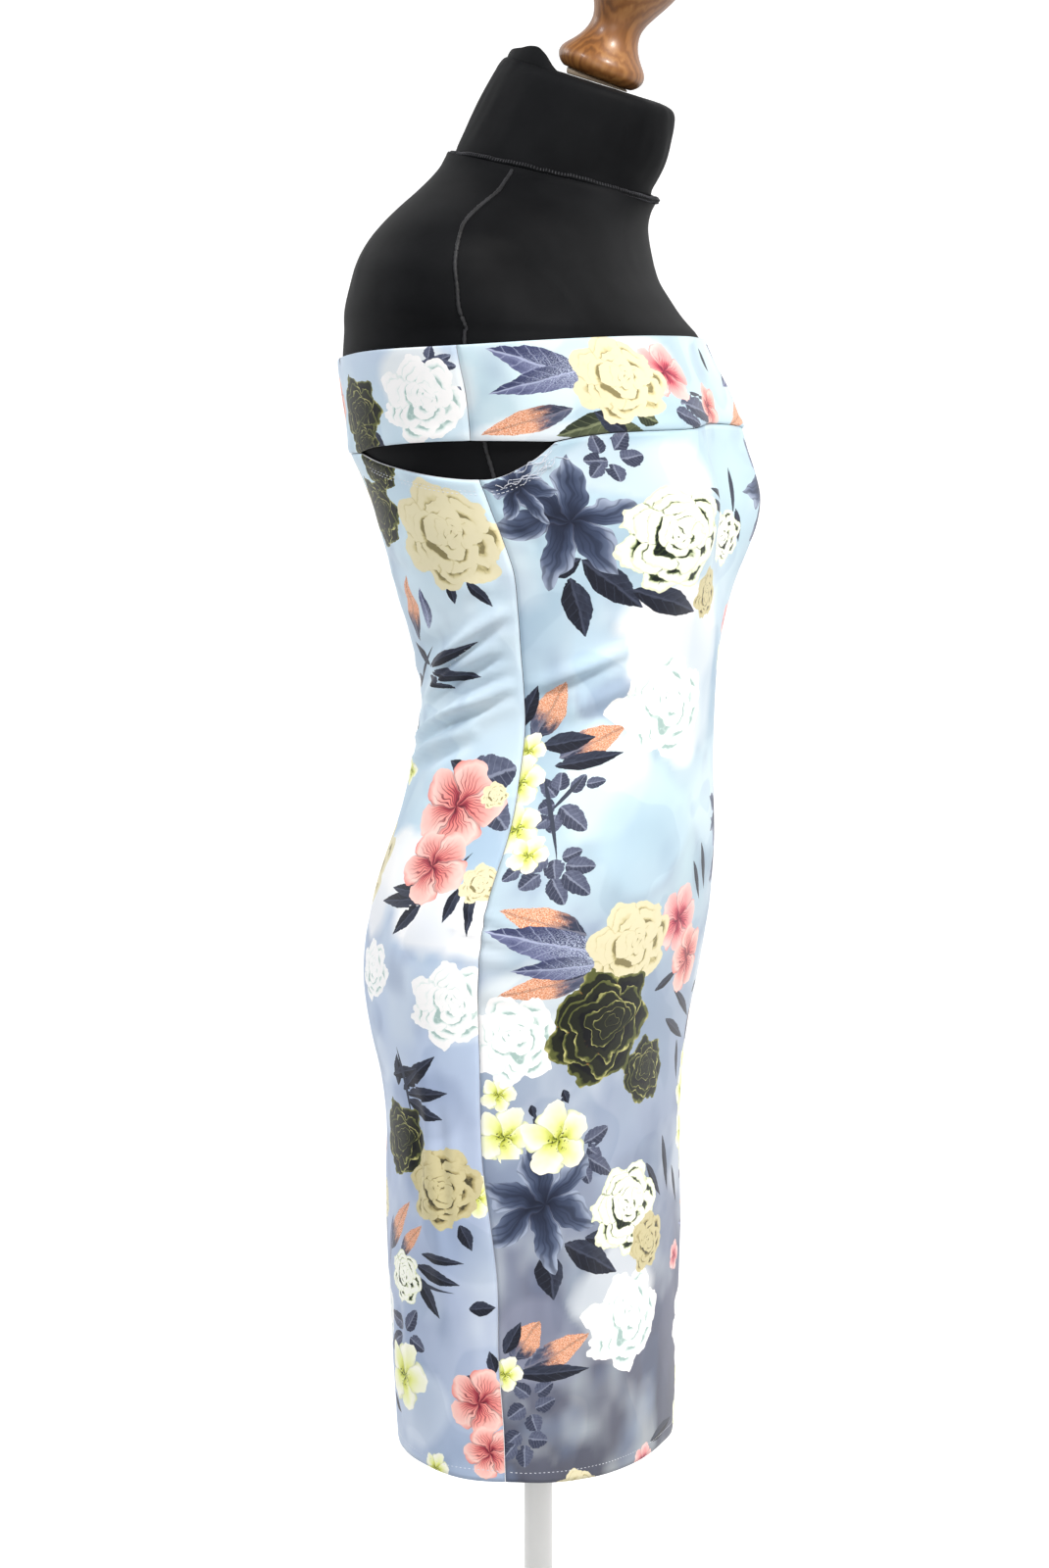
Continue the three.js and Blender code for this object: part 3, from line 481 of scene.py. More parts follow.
def lift(deg, z):
    """How far folds and small waves move the cloth out."""
    z = np.asarray(z, float)
    free = np.clip((FREE_BELOW - z) / FREE_FADE, 0, 1)
    wrapped = (np.asarray(deg, float) + 180) % 360
    wave = soft_noise(wrapped / 24.0, z / 190.0, 7, 2) - 0.5
    fine = soft_noise(wrapped / 9.0, z / 28.0, 11, 2) - 0.5
    total = (ridges(FOLDS, deg, z, 0.2) + ridges(CREASES, deg, z, 0.6) + 3.2 * free * wave
             + 0.35 * fine)
    return np.where(total < 0, DEEPEST * np.tanh(total / DEEPEST), total)


def over_cloth(deg, z, out):
    """Places a little over the outer face."""
    return cloth(deg, z) + cloth_normal(deg, z) * (lift(deg, z) + out)[..., None]


def leaning_oval(deg, z, tilt, half_width, front, back, shape):
    """Ring about a level that rises to the back by a tilt in degrees."""
    x, y = oval(deg, half_width, front, back, shape)
    rise = (y - (back - front) / 2) * math.tan(math.radians(tilt))
    return np.stack([x, y, z + rise], -1)


def leaning_ring(table, deg, z):
    return leaning_oval(deg, z, *[float(curve(table, i, z)) for i in range(1, 6)])


# lengths on the cloth, around and up
GRID_DEG = np.arange(-200, 381, DEG_STEP)
GRID_Z = np.arange(290, 1090, Z_STEP)
points = cloth(*np.meshgrid(GRID_DEG, GRID_Z))
ARC, RISE = [np.cumsum(np.insert(np.linalg.norm(np.diff(points, axis=axis), axis=-1), 0, 0, axis),
                       axis) for axis in (1, 0)]


def lookup(table, deg, z):
    deg, z = np.broadcast_arrays(np.asarray(deg, float), np.asarray(z, float))
    fx = np.clip((deg - GRID_DEG[0]) / DEG_STEP, 0, len(GRID_DEG) - 1.001)
    fz = np.clip((z - GRID_Z[0]) / Z_STEP, 0, len(GRID_Z) - 1.001)
    ix, iz = fx.astype(int), fz.astype(int)
    tx, tz = fx - ix, fz - iz
    low = table[iz, ix] * (1 - tx) + table[iz, ix + 1] * tx
    high = table[iz + 1, ix] * (1 - tx) + table[iz + 1, ix + 1] * tx
    return low * (1 - tz) + high * tz


# mesh helpers
def new_object(name, mesh):
    obj = bpy.data.objects.new(name, mesh)
    bpy.context.scene.collection.objects.link(obj)
    return obj


def mesh_from(name, points, faces, materials):
    mesh = bpy.data.meshes.new(name)
    mesh.from_pydata((np.asarray(points) * MM).tolist(), [], faces)
    for material in materials:
        mesh.materials.append(material)
    mesh.polygons.foreach_set("use_smooth", np.ones(len(mesh.polygons), bool))
    mesh.update()
    return new_object(name, mesh)


def grid_faces(columns, rows):
    i, j = np.meshgrid(np.arange(columns - 1), np.arange(rows - 1), indexing="ij")
    a, b = i * rows + j, (i + 1) * rows + j
    return np.stack([a, b, b + 1, a + 1], -1).reshape(-1, 4)


def ring_faces(rings, count, flip=False, closed=False):
    """Quads between rings of count points that follow one another."""
    i, k = np.meshgrid(np.arange(rings if closed else rings - 1), np.arange(count),
                       indexing="ij")
    here, there, n = i * count, (i + 1) % rings * count, (k + 1) % count
    quads = np.stack([here + k, here + n, there + n, there + k], -1).reshape(-1, 4)
    return quads[:, [0, 3, 2, 1]] if flip else quads


def solid_faces(rings, count, flip=False):
    """Faces of a stack of rings with flat ends."""
    low, high = list(range(count)), list(range((rings - 1) * count, rings * count))
    ends = [low, high[::-1]] if flip else [low[::-1], high]
    return ring_faces(rings, count, flip).tolist() + ends


def ring_solid(name, rings, material):
    """Closed solid of stacked rings, an array [ring][point][xyz]."""
    rings = np.asarray(rings)
    return mesh_from(name, rings.reshape(-1, 3), solid_faces(*rings.shape[:2]), [material])


def circle(count, turn=2 * np.pi):
    """Angles of the points of a ring."""
    return np.linspace(0, turn, count, endpoint=False)


def shell(name, outer, inner, materials):
    """Closed wall between two faces, each an array [column][row][xyz]."""
    columns, rows = outer.shape[:2]
    per = columns * rows
    faces = [grid_faces(columns, rows), grid_faces(columns, rows)[:, ::-1] + per]
    col, row = np.arange(columns) * rows, np.arange(rows)
    for a, b in ((col, col + per), (col + rows - 1 + per, col + rows - 1), (row + per, row),
                 (row + per - rows, row + 2 * per - rows)):
        faces.append(np.stack([a[:-1], b[:-1], b[1:], a[1:]], -1))
    points = np.concatenate([outer.reshape(-1, 3), inner.reshape(-1, 3)])
    return mesh_from(name, points, np.concatenate(faces).tolist(), materials)


def turned_rings(profile, count=96):
    """Rings of a turned body from rows of height and radius."""
    t = circle(count)
    return np.array([np.stack([r * np.cos(t), r * np.sin(t), np.full(count, z)], -1)
                     for z, r in profile])


def revolve(name, profile, material):
    return ring_solid(name, turned_rings(profile), material)


def strand_rings(path, radius, side, up, sides, squash=1.0):
    """Rings round the points of a path, across the directions side and up."""
    t = circle(sides)[None, :, None]
    r = np.broadcast_to(np.asarray(radius, float), (len(path),))[:, None, None]
    return path[:, None] + r * (np.cos(t) * side[:, None] + squash * np.sin(t) * up[:, None])


def tube(name, path, radius, material, sides, closed=False):
    """Thin round strand along points in millimetres."""
    path = np.asarray(path, float)
    around = np.roll(path, -1, 0) - np.roll(path, 1, 0)
    tangent = unit(around if closed else np.gradient(path, axis=0))
    guide = np.tile([0.0, 0.0, 1.0], (len(path), 1))
    guide[np.abs(tangent[:, 2]) > 0.9] = [0.0, 1.0, 0.0]
    side = unit(np.cross(tangent, guide))
    rings = strand_rings(path, radius, side, np.cross(side, tangent), sides)
    faces = (ring_faces(len(path), sides, True, True).tolist() if closed
             else solid_faces(len(path), sides, True))
    return mesh_from(name, rings.reshape(-1, 3), faces, [material])


def join(name, parts):
    """One object from several, each a mesh object."""
    target = parts[0]
    with bpy.context.temp_override(active_object=target, object=target,
                                   selected_editable_objects=parts,
                                   selected_objects=parts):
        bpy.ops.object.join()
    target.name = name
    target.data.name = name
    return target


# shader building
def colour(code):
    """Linear colour from a written sRGB one."""
    parts = [int(code[i:i + 2], 16) / 255 for i in (0, 2, 4)]
    return tuple(p / 12.92 if p <= 0.04045 else ((p + 0.055) / 1.055) ** 2.4
                 for p in parts) + (1.0,)


class Wire:
    """Output of a shader node. Arithmetic on it adds Math nodes."""

    def __init__(self, graph, socket):
        self.graph = graph
        self.socket = socket

    def __add__(self, other):
        return self.graph.math("ADD", self, other)

    def __sub__(self, other):
        return self.graph.math("SUBTRACT", self, other)

    def __rsub__(self, other):
        return self.graph.math("SUBTRACT", other, self)

    def __mul__(self, other):
        return self.graph.math("MULTIPLY", self, other)

    def __truediv__(self, other):
        return self.graph.math("DIVIDE", self, other)

    def __pow__(self, other):
        return self.graph.math("POWER", self, other)

    def __abs__(self):
        return self.graph.math("ABSOLUTE", self)

    def __lt__(self, other):
        return self.graph.math("LESS_THAN", self, other)

    def __gt__(self, other):
        return self.graph.math("GREATER_THAN", self, other)


class Graph:
    """Short way to write a node tree."""

    def __init__(self, tree):
        self.tree = tree

    def node(self, kind, *values, **settings):
        node = self.tree.nodes.new("ShaderNode" + kind)
        node.location = (170 * (len(self.tree.nodes) % 24), -190 * (len(self.tree.nodes) // 24))
        for key, value in settings.items():
            setattr(node, key, value)
        for index, value in enumerate(values):
            self.feed(node.inputs[index], value)
        return node

    def wire(self, kind, *values, output=0, **settings):
        return Wire(self, self.node(kind, *values, **settings).outputs[output])

    def feed(self, socket, value):
        if isinstance(value, Wire):
            self.tree.links.new(value.socket, socket)
        elif isinstance(value, str):
            socket.default_value = colour(value)
        elif value is not None:
            socket.default_value = value

    def math(self, operation, *values):
        return self.wire("Math", *values, operation=operation)

    def clamp(self, value):
        return self.wire("Clamp", value, 0.0, 1.0)

    def vector(self, operation, *values):
        output = "Value" if operation == "LENGTH" else "Vector"
        return self.wire("VectorMath", *values, operation=operation, output=output)

    def scale(self, vector, factor):
        return self.vector("MULTIPLY", vector, (factor, factor, factor))

    def same(self, value):
        """Vector with one value three times."""
        return self.wire("CombineXYZ", value, value, value)

    def length(self, x, y):
        return self.vector("LENGTH", self.wire("CombineXYZ", x, y, 0.0))

    def step(self, value, low, high, start=0.0, end=1.0):
        return self.wire("MapRange", value, low, high, start, end,
                         interpolation_type="SMOOTHSTEP")

    def mix(self, factor, a, b, blend="MIX"):
        node = self.node("Mix", factor, data_type="RGBA", blend_type=blend)
        self.feed(node.inputs[6], a)
        self.feed(node.inputs[7], b)
        return Wire(self, node.outputs[2])

    def fade(self, factor, a, b):
        return self.wire("Mix", factor, None, a, b, data_type="FLOAT")

    def ramp(self, value, *stops):
        """Colour ramp from places and colours that follow one another."""
        node = self.node("ValToRGB", value)
        points = node.color_ramp.elements
        while len(points) < len(stops) // 2:
            points.new(0.5)
        for point, place, code in zip(points, stops[::2], stops[1::2]):
            point.position = place
            point.color = colour(code)
        return Wire(self, node.outputs[0])

    def noise(self, place, scale, detail=2.0, roughness=0.5, output="Fac"):
        node = self.node("TexNoise", place)
        node.inputs["Scale"].default_value = scale
        node.inputs["Detail"].default_value = detail
        node.inputs["Roughness"].default_value = roughness
        return Wire(self, node.outputs[output])

    def wander(self, place, scale, detail, amount):
        """The place, moved about by soft noise."""
        noise = self.noise(place, scale, detail, output="Color")
        shift = self.vector("SUBTRACT", noise, (0.5, 0.5, 0.5))
        return self.vector("ADD", place, self.scale(shift, amount))

    def attribute(self, name, output="Vector"):
        return self.wire("Attribute", attribute_name=name, output=output)

    def split(self, vector):
        return [Wire(self, socket) for socket in self.node("SeparateXYZ", vector).outputs]

    def bump(self, shader, strength, millimetres, height):
        node = self.node("Bump", strength, millimetres * MM)
        self.feed(node.inputs["Height"], height)
        self.tree.links.new(node.outputs[0], shader.inputs["Normal"])

    def pick(self, kind, numbers, start, **choices):
        """The colour of the choice whose number is kind, or else start."""
        for name, choice in choices.items():
            same = self.math("COMPARE", kind, float(numbers[name]), 0.5)
            start = self.mix(same, start, choice)
        return start


def motif_group(name, draw):
    """Node group that turns a place (u, v, kind) in a motif into its colour and mask."""
    tree = bpy.data.node_groups.new(name, "ShaderNodeTree")
    tree.interface.new_socket("Place", in_out="INPUT", socket_type="NodeSocketVector")
    tree.interface.new_socket("Colour", in_out="OUTPUT", socket_type="NodeSocketColor")
    tree.interface.new_socket("Mask", in_out="OUTPUT", socket_type="NodeSocketFloat")
    g = Graph(tree)
    place = Wire(g, tree.nodes.new("NodeGroupInput").outputs[0])
    end = tree.nodes.new("NodeGroupOutput")
    for socket, value in zip(end.inputs, draw(g, place)):
        g.feed(socket, value)
    return tree


# rings of petals, three to a row: centre, half the petal counts, phases, sizes, scallop,
# share of each ring where the next one starts
PETAL_RINGS = [
    ((0.0, 0.0, 0.0), (3.5, 3.0, 2.5), (0.2, 1.3, 2.6), (0.97, 0.80, 0.61), 0.19,
     (0.80, 0.74, 0.68)),
    ((0.09, 0.06, 0.0), (2.0, 1.5, 1.5), (0.4, 1.7, 3.0), (0.42, 0.27, 0.13), 0.20,
     (0.62, 0.46, 0.10))]


def rose(g, place):
    """Nested scalloped petals round an off-centre heart."""
    kind = g.split(place)[2]
    warped = g.wander(place, 1.7, 3.0, 0.62)
    layers = []
    for centre, counts, phases, sizes, scallop, inner in PETAL_RINGS:
        x, y, _ = g.split(g.vector("SUBTRACT", warped, centre))
        angle = g.math("ARCTAN2", y, x)
        lobes = g.vector("ABSOLUTE", g.vector(
            "COSINE", g.vector("MULTIPLY_ADD", g.same(angle), counts, phases)))
        outline = g.vector("MULTIPLY_ADD", lobes, [scallop * s for s in sizes],
                           [(1.03 - scallop) * s for s in sizes])
        share = g.split(g.vector("DIVIDE", g.same(g.length(x, y)), outline))
        for q, lobe, start in zip(share, g.split(lobes), inner):
            petal = g.step(q, start - 0.03, start + 0.09) * g.step(lobe, 0.0, 0.13, 0.42, 1.0)
            layers.append((q < 1.0, petal, g.step(q, 0.86, 1.0)))
    mask, tone, rim = layers[0]
    for inside, petal, edge_light in layers[1:]:
        tone = g.fade(inside, tone, petal)
        rim = g.fade(inside, rim, edge_light)
    grain = g.noise(place, 4.5, 3.0, 0.62)
    # strokes run out from the heart, whose angle the last ring left
    stroke = g.step(g.math("SINE", angle * 30.0 + grain * 16.0), 0.3, 0.95)
    stroke = stroke * g.step(tone, 0.85, 0.25)
    tone = g.clamp(tone + (grain * 0.9 - 0.45))
    rim = g.clamp(rim + (grain * 1.3 - 0.72))
    lit = g.step(g.noise(place, 2.6, 2.0, 0.6), 0.40, 0.60)
    cream = g.ramp(tone, 0.0, "8c825b", 0.05, "b3a777", 0.18, "cdc190", 0.45, "dbd1a2",
                   0.95, "e8e0bc")
    cream = g.mix(stroke * 0.22, cream, "8f8355")
    tan = g.ramp(tone, 0.0, "4c4734", 0.08, "7b704c", 0.24, "a89a69", 0.60, "bdb07f",
                 1.0, "d3c99c")
    mint = g.ramp(tone, 0.0, "a9c4c0", 0.08, "cbdeda", 0.26, "e2eeec", 0.60, "eff6f5",
                  1.0, "ffffff")
    peony = g.mix(g.step(tone, 0.1, 0.9), "0b0d13", "1f2219")
    peony = g.mix(g.step(rim, 0.35, 0.75), peony, "5c6134")
    peony = g.mix(g.step(rim, 0.75, 1.0) * lit, peony, "cfcb84")
    peony = g.mix(stroke * g.step(rim, 0.1, 0.6, 0.0, 0.8), peony, "a06a3a")
    green = g.ramp(tone, 0.0, "161f1c", 0.12, "36432f", 0.26, "a3b07c", 0.42, "e3ebc8",
                   0.85, "fcfef4")
    green = g.mix(g.step(rim, 0.5, 1.0) * 0.55, green, "dfe9a6")
    green = g.mix(stroke * 0.9, green, "39452b")
    return g.pick(kind, ROSES, cream, tan=tan, peony=peony, mint=mint, green=green), mask


def bloom(g, place):
    """Open flower: rounded petals, or pointed ones for the lily."""
    kind = g.split(place)[2]
    x, y, ripple = g.split(g.wander(place, 1.8, 2.0, 0.52))
    ripple = ripple - kind
    radius = g.length(x, y)
    is_lily = g.math("COMPARE", kind, float(BLOOMS["lily"]), 0.5)
    is_lime = g.math("COMPARE", kind, float(BLOOMS["lime"]), 0.5)
    turns = g.math("ARCTAN2", y, x) * ((is_lily + 5.0) * (1 / (2 * math.pi)))
    petal = g.math("FRACT", turns + 10.5) - 0.5
    off = abs(petal)
    rounded = g.math("COSINE", off * math.pi) ** 0.42 * 0.36 + 0.66
    pointed = (off * -2.0 + 1.0) ** 0.78 * 0.63 + 0.37
    q = radius / g.fade(is_lily, rounded, pointed)
    veins = g.step(g.math("SINE", petal * 44.0 + ripple * 5.0), 0.35, 0.95)
    strong = veins * g.step(radius, 0.86, 0.22)
    flow = g.clamp(q * 0.85 + petal * 0.34 + ripple * 0.5)
    coral = g.ramp(flow, 0.0, "5e1a2a", 0.13, "b04350", 0.26, "e6827e", 0.50, "f4aaa2",
                   0.78, "fbd3ca", 0.97, "ee958d")
    coral = g.mix(strong, coral, "6a1d30")
    pink = g.ramp(flow, 0.0, "7e1f3c", 0.18, "c8485f", 0.38, "ee8e92", 0.66, "f8b9b6",
                  0.90, "fcd7d2", 0.98, "f0a19d")
    pink = g.mix(strong * 0.9, pink, "6b1630")
    lime = g.ramp(flow, 0.0, "6f7c2a", 0.12, "c9cf4f", 0.30, "eaf08f", 0.58, "f7fad2",
                  0.84, "fffff2", 0.97, "dfe5b4")
    specks = g.step(g.noise(place, 14.0, 1.0), 0.58, 0.64) * g.step(radius, 0.40, 0.22)
    lime = g.mix(specks, lime, "3d4418")
    lily = g.ramp(flow, 0.0, "1b2132", 0.20, "293147", 0.46, "3f4a64", 0.66, "5c6883",
                  0.86, "a0acc3")
    lily = g.mix(g.step(off, 0.05, 0.0) * 0.5, lily, "1d2335")
    lily = g.mix(veins * 0.45, lily, "232a3f")
    result = g.pick(kind, BLOOMS, coral, pink=pink, lime=lime, lily=lily)
    between = g.step(off, 0.43, 0.49) * g.fade(is_lime, 0.55, 0.30)
    return g.mix(between, result, g.mix(0.55, result, "3a3440")), q < 1.0


def leaf(g, place):
    """Lens-shaped leaf along u with a rib and slanting veins."""
    u, v, kind = g.split(place)
    rough = g.noise(place, 3.2, 2.0, 0.6)
    across = v + (rough * 0.36 - 0.18)
    off = abs(across)
    square = 1.0 - u * u
    rounder = g.math("COMPARE", kind, float(LEAVES["slate"]), 0.5)
    taper = g.math("MAXIMUM", square, 0.0001) ** (rounder * -0.42 + 1.0)
    lens = taper * (u * -0.28 + 1.0)
    mask = (off / lens < 1.0) * (square > 0.0)
    slant = g.math("FRACT", u * 3.4 + 20.0 + off * -1.3)
    vein = 1.0 - g.step(slant, 0.0, 0.16)
    lines = g.math("MAXIMUM", vein * 0.6, g.step(off, 0.11, 0.03))
    body = g.clamp((across > 0.0) * 0.42 + (rough * 0.7 - 0.06))

    def shaded(dark, middle, light):
        return g.ramp(body, 0.0, dark, 0.5, middle, 1.0, light)

    slate = g.mix(lines * 0.62, shaded("2a2e40", "454b61", "6a718a"), "98a0b6")
    dark = g.mix(lines * 0.30, shaded("151720", "242836", "3d4458"), "626a82")
    green = g.mix(lines * 0.5, shaded("1c211c", "3a4233", "6d7556"), "98a07a")
    speck = g.noise(place, 26.0, 1.0)
    warm = g.ramp(speck, 0.38, "c8744f", 0.50, "e99f74", 0.60, "f8d9c4")
    coral = g.mix(g.step(rough * 0.8 + u, -0.15, 0.45), slate, warm)
    coral = g.mix(lines * 0.35, coral, "5b4a4a")
    hatch = g.step(speck, 0.50, 0.56) * g.step(u + off * 0.6, 0.9, -0.7)
    navy = g.mix(hatch, shaded("2c3150", "4a5076", "7a80a4"), "c9d4ea")
    navy = g.mix(lines * 0.8, navy, "b4bddb")
    return g.pick(kind, LEAVES, slate, dark=dark, coral=coral, navy=navy, green=green,
                  stem="3a4050"), mask


GROUPS = {"leaf": motif_group("leaf motif", leaf), "bloom": motif_group("blossom motif", bloom),
          "rose": motif_group("rose motif", rose)}


def new_material(name, roughness, specular=0.5, **others):
    """Material with the values that are the same all over it."""
    material = bpy.data.materials.new(name)
    material.use_nodes = True
    shader = material.node_tree.nodes["Principled BSDF"]
    shader.inputs["Roughness"].default_value = roughness
    shader.inputs["Specular IOR Level"].default_value = specular
    for key, value in others.items():
        shader.inputs[key.replace("_", " ").title()].default_value = value
    return material, Graph(material.node_tree), shader


def knit_material(name):
    """Soft matt knit: fine ribs along the length under a little fuzz."""
    material, g, shader = new_material(name, 0.50, 0.20, sheen_weight=0.07,
                                       sheen_roughness=0.45)
    fabric = g.attribute("fabric")
    x, y, _ = g.split(fabric)
    pitch = 100 * 2 * math.pi / KNIT_PITCH
    g.bump(shader, 0.22, KNIT_DEPTH, g.math("SINE", x * pitch) * g.math("SINE", y * pitch))
    return material, g, shader, fabric


def cloth_material(name, slots):
    """Printed knit: watercolour ground, then leaves, blossoms and roses over it."""
    material, g, shader, fabric = knit_material(name)
    wash = g.ramp(g.noise(fabric, 1.0, 1.5), 0.30, "dbe2ea", 0.44, "e9edf2",
                  0.452, "f4f6f9", 0.58, "ffffff", 0.592, "f1f4f8", 0.70, "ffffff")
    result = g.mix(1.0, g.attribute("ground", "Color"), wash, "MULTIPLY")
    for kind, index in slots:
        motif = g.node("Group", node_tree=GROUPS[kind])
        g.feed(motif.inputs[0], g.attribute(f"{kind}{index}"))
        result = g.mix(Wire(g, motif.outputs[1]), result, Wire(g, motif.outputs[0]))
    g.feed(shader.inputs["Base Color"], result)
    return material


def reverse_material():
    """Wrong side of the cloth: pale, with the print just showing."""
    material, g, shader, fabric = knit_material("cloth reverse")
    g.feed(shader.inputs["Base Color"], g.ramp(
        g.noise(fabric, 2.2, 2.0), 0.35, "c9cdd6", 0.55, "e6e8ec", 0.75, "f1f1f0"))
    return material


# the print
def plain(code):
    """Colour without its alpha."""
    return np.array(colour(code)[:3])


def wash_over(base, code, share):
    return base * (1 - share[..., None]) + plain(code) * share[..., None]


def ground_colour(deg, z, patches, base):
    """Watercolour wash of the ground at places on the cloth."""
    deg = (np.asarray(deg, float) + 180) % 360 - 180
    drift = soft_noise(deg / 13.0 + 20, z / 34.0 + 20, 3, 3)
    drift_b = soft_noise(deg / 17.0 + 40, z / 42.0 + 20, 5, 3)
    table = np.array([plain(code) for code in base])
    result = np.stack([np.interp(z + 90 * (drift - 0.5), GROUND_LEVELS, table[:, k])
                       for k in range(3)], -1)
    result = wash_over(result, "eef7fb", 0.38 * np.clip((drift_b - 0.52) * 3.2, 0, 1))
    result = wash_over(result, "8193b3", 0.42 * np.clip((0.42 - drift) * 3.4, 0, 1))
    for deg_c, z_c, wide, high, code, weight in patches:
        off = (deg - deg_c + 180) % 360 - 180
        reach = np.hypot((off + 10 * (drift - 0.5)) / wide,
                         (z - z_c + 26 * (drift_b - 0.5)) / high)
        result = wash_over(result, code, weight * np.clip(3.4 * (1.12 - reach), 0, 1))
    return result


def arc_between(deg, deg_from, z):
    """Length along the level from one column to another, millimetres."""
    return lookup(ARC, deg, z) - lookup(ARC, deg_from, z)


def column_at(deg_from, arc, z):
    """Column that lies a length along the level from another one."""
    row = lookup(ARC, GRID_DEG, np.full(len(GRID_DEG), float(z)))
    start = np.interp(deg_from, GRID_DEG, row)
    return float(np.interp(start + arc, row, GRID_DEG))


def moved(group, anchor, shift_deg, shift_z, low, high):
    """Copy of a group of motifs, slid round the body and up or down its repeat."""
    repeat = high - low

    def slide(deg, z, drop):
        arc = float(arc_between(deg, anchor, z))
        return column_at(anchor + shift_deg, arc, z + drop), z + drop

    def wrapped(z):
        return (z + shift_z - low) % repeat + low - z if repeat else shift_z

    flowers = [(kind, *slide(deg, z, wrapped(z)), radius, turn + 25)
               for kind, deg, z, radius, turn in group[0]]
    leaves = []
    for kind, deg_a, z_a, deg_b, z_b, width in group[1]:
        drop = wrapped((z_a + z_b) / 2)
        leaves.append((kind, *slide(deg_a, z_a, drop), *slide(deg_b, z_b, drop), width))
    return flowers, leaves


def within(group, low, high):
    """The motifs whose middle column lies in a range."""
    return ([row for row in group[0] if low <= row[1] <= high],
            [row for row in group[1] if low <= (row[1] + row[3]) / 2 <= high])


def positive(flowers, leaves):
    """The same motifs with their columns written from 0 to 360 degrees."""
    return ([(kind, deg % 360, *rest) for kind, deg, *rest in flowers],
            [(kind, deg_a % 360, z_a, deg_b % 360, z_b, width)
             for kind, deg_a, z_a, deg_b, z_b, width in leaves])


def together(*groups):
    """One group with the motifs of several."""
    return [sum(rows, []) for rows in zip(*groups)]


class Printer:
    """Gives every face corner its place in the motifs that cover it."""

    def __init__(self, deg, z):
        """deg and z are arrays [face][corner] over the outer face of a piece."""
        self.deg, self.z = deg, z
        self.mid_deg, self.mid_z = deg.mean(1), z.mean(1)
        self.slots = {(kind, i): np.tile(FAR, (*deg.shape, 1))
                      for kind, count in SLOTS.items() for i in range(count)}
        self.scores = {key: np.full(len(deg), np.inf) for key in self.slots}

    def put(self, kind, number, deg_c, z_c, size_u, size_v, tilt):
        """Writes a motif into the slot where it hides the least."""
        reach = max(size_u, size_v) * 1.25 + CELL
        away = (self.mid_deg - deg_c + 180) % 360 - 180
        index = np.nonzero((np.abs(self.mid_z - z_c) < reach)
                           & (np.abs(away) < np.degrees(reach / 70)))[0]
        if not len(index):
            return
        deg = self.deg[index] + (deg_c + away - self.mid_deg)[index, None]
        z = self.z[index]
        along = arc_between(deg, deg_c, z)
        up = lookup(RISE, deg, z) - lookup(RISE, deg, z_c)
        c, s = math.cos(tilt), math.sin(tilt)
        if kind == "leaf":
            u, v = (along * c + up * s) / size_u, (-along * s + up * c) / size_v
            mid_u, mid_v = np.abs(u.mean(1)), np.abs(v.mean(1))
            width = np.maximum(1 - mid_u ** 2, 0.05)
            score = np.maximum(mid_u, mid_v / width)
            covered = (mid_u < 1.02 + CELL / size_u) & (
                mid_v < 1.35 * width + 0.15 + CELL / size_v)
        else:
            along, up = along / size_u, up / size_v
            u, v = along * c + up * s, -along * s + up * c
            score = np.hypot(u.mean(1), v.mean(1))
            covered = score < 1.22 + CELL / size_u
        keys = [key for key in self.slots if key[0] == kind]
        taken = [int(((score < 1.0) & (self.scores[key][index] < 1.0)).sum()) for key in keys]
        costs = [10 * taken[i] + sum(taken[i + 1:]) for i in range(len(keys))]
        best = keys[costs.index(min(costs))]
        use = covered & (score < self.scores[best][index])
        self.scores[best][index[use]] = score[use]
        self.slots[best][index[use]] = np.stack(
            [u[use], v[use], np.full(u[use].shape, float(number))], -1)

    def flowers(self, rows):
        for kind, deg, z, radius, turn in rows:
            group, table = ("rose", ROSES) if kind in ROSES else ("bloom", BLOOMS)
            size = radius * FLOWER_SCALE[kind]
            wide = float(np.interp(abs((deg + 180) % 360 - 180), *ACROSS))
            self.put(group, table[kind], deg, z, size * wide, size, math.radians(turn))

    def leaves(self, rows):
        for kind, deg_a, z_a, deg_b, z_b, width in rows:
            z_c = (z_a + z_b) / 2
            along, up = float(arc_between(deg_b, deg_a, z_c)), z_b - z_a
            wide = width * (0.70 if kind == "slate" else 0.60) + 0.4
            self.put("leaf", LEAVES[kind], (deg_a + deg_b) / 2, z_c,
                     math.hypot(along, up) * 0.55, wide, math.atan2(up, along))

    def used(self, kind):
        return np.any([self.scores[key] < np.inf for key in self.slots if key[0] == kind],
                      axis=0)


def write(mesh, name, kind, domain, values):
    layer = mesh.attributes.new(name, kind, domain)
    layer.data.foreach_set("color" if kind == "FLOAT_COLOR" else "vector",
                           values.astype(np.float32).ravel())


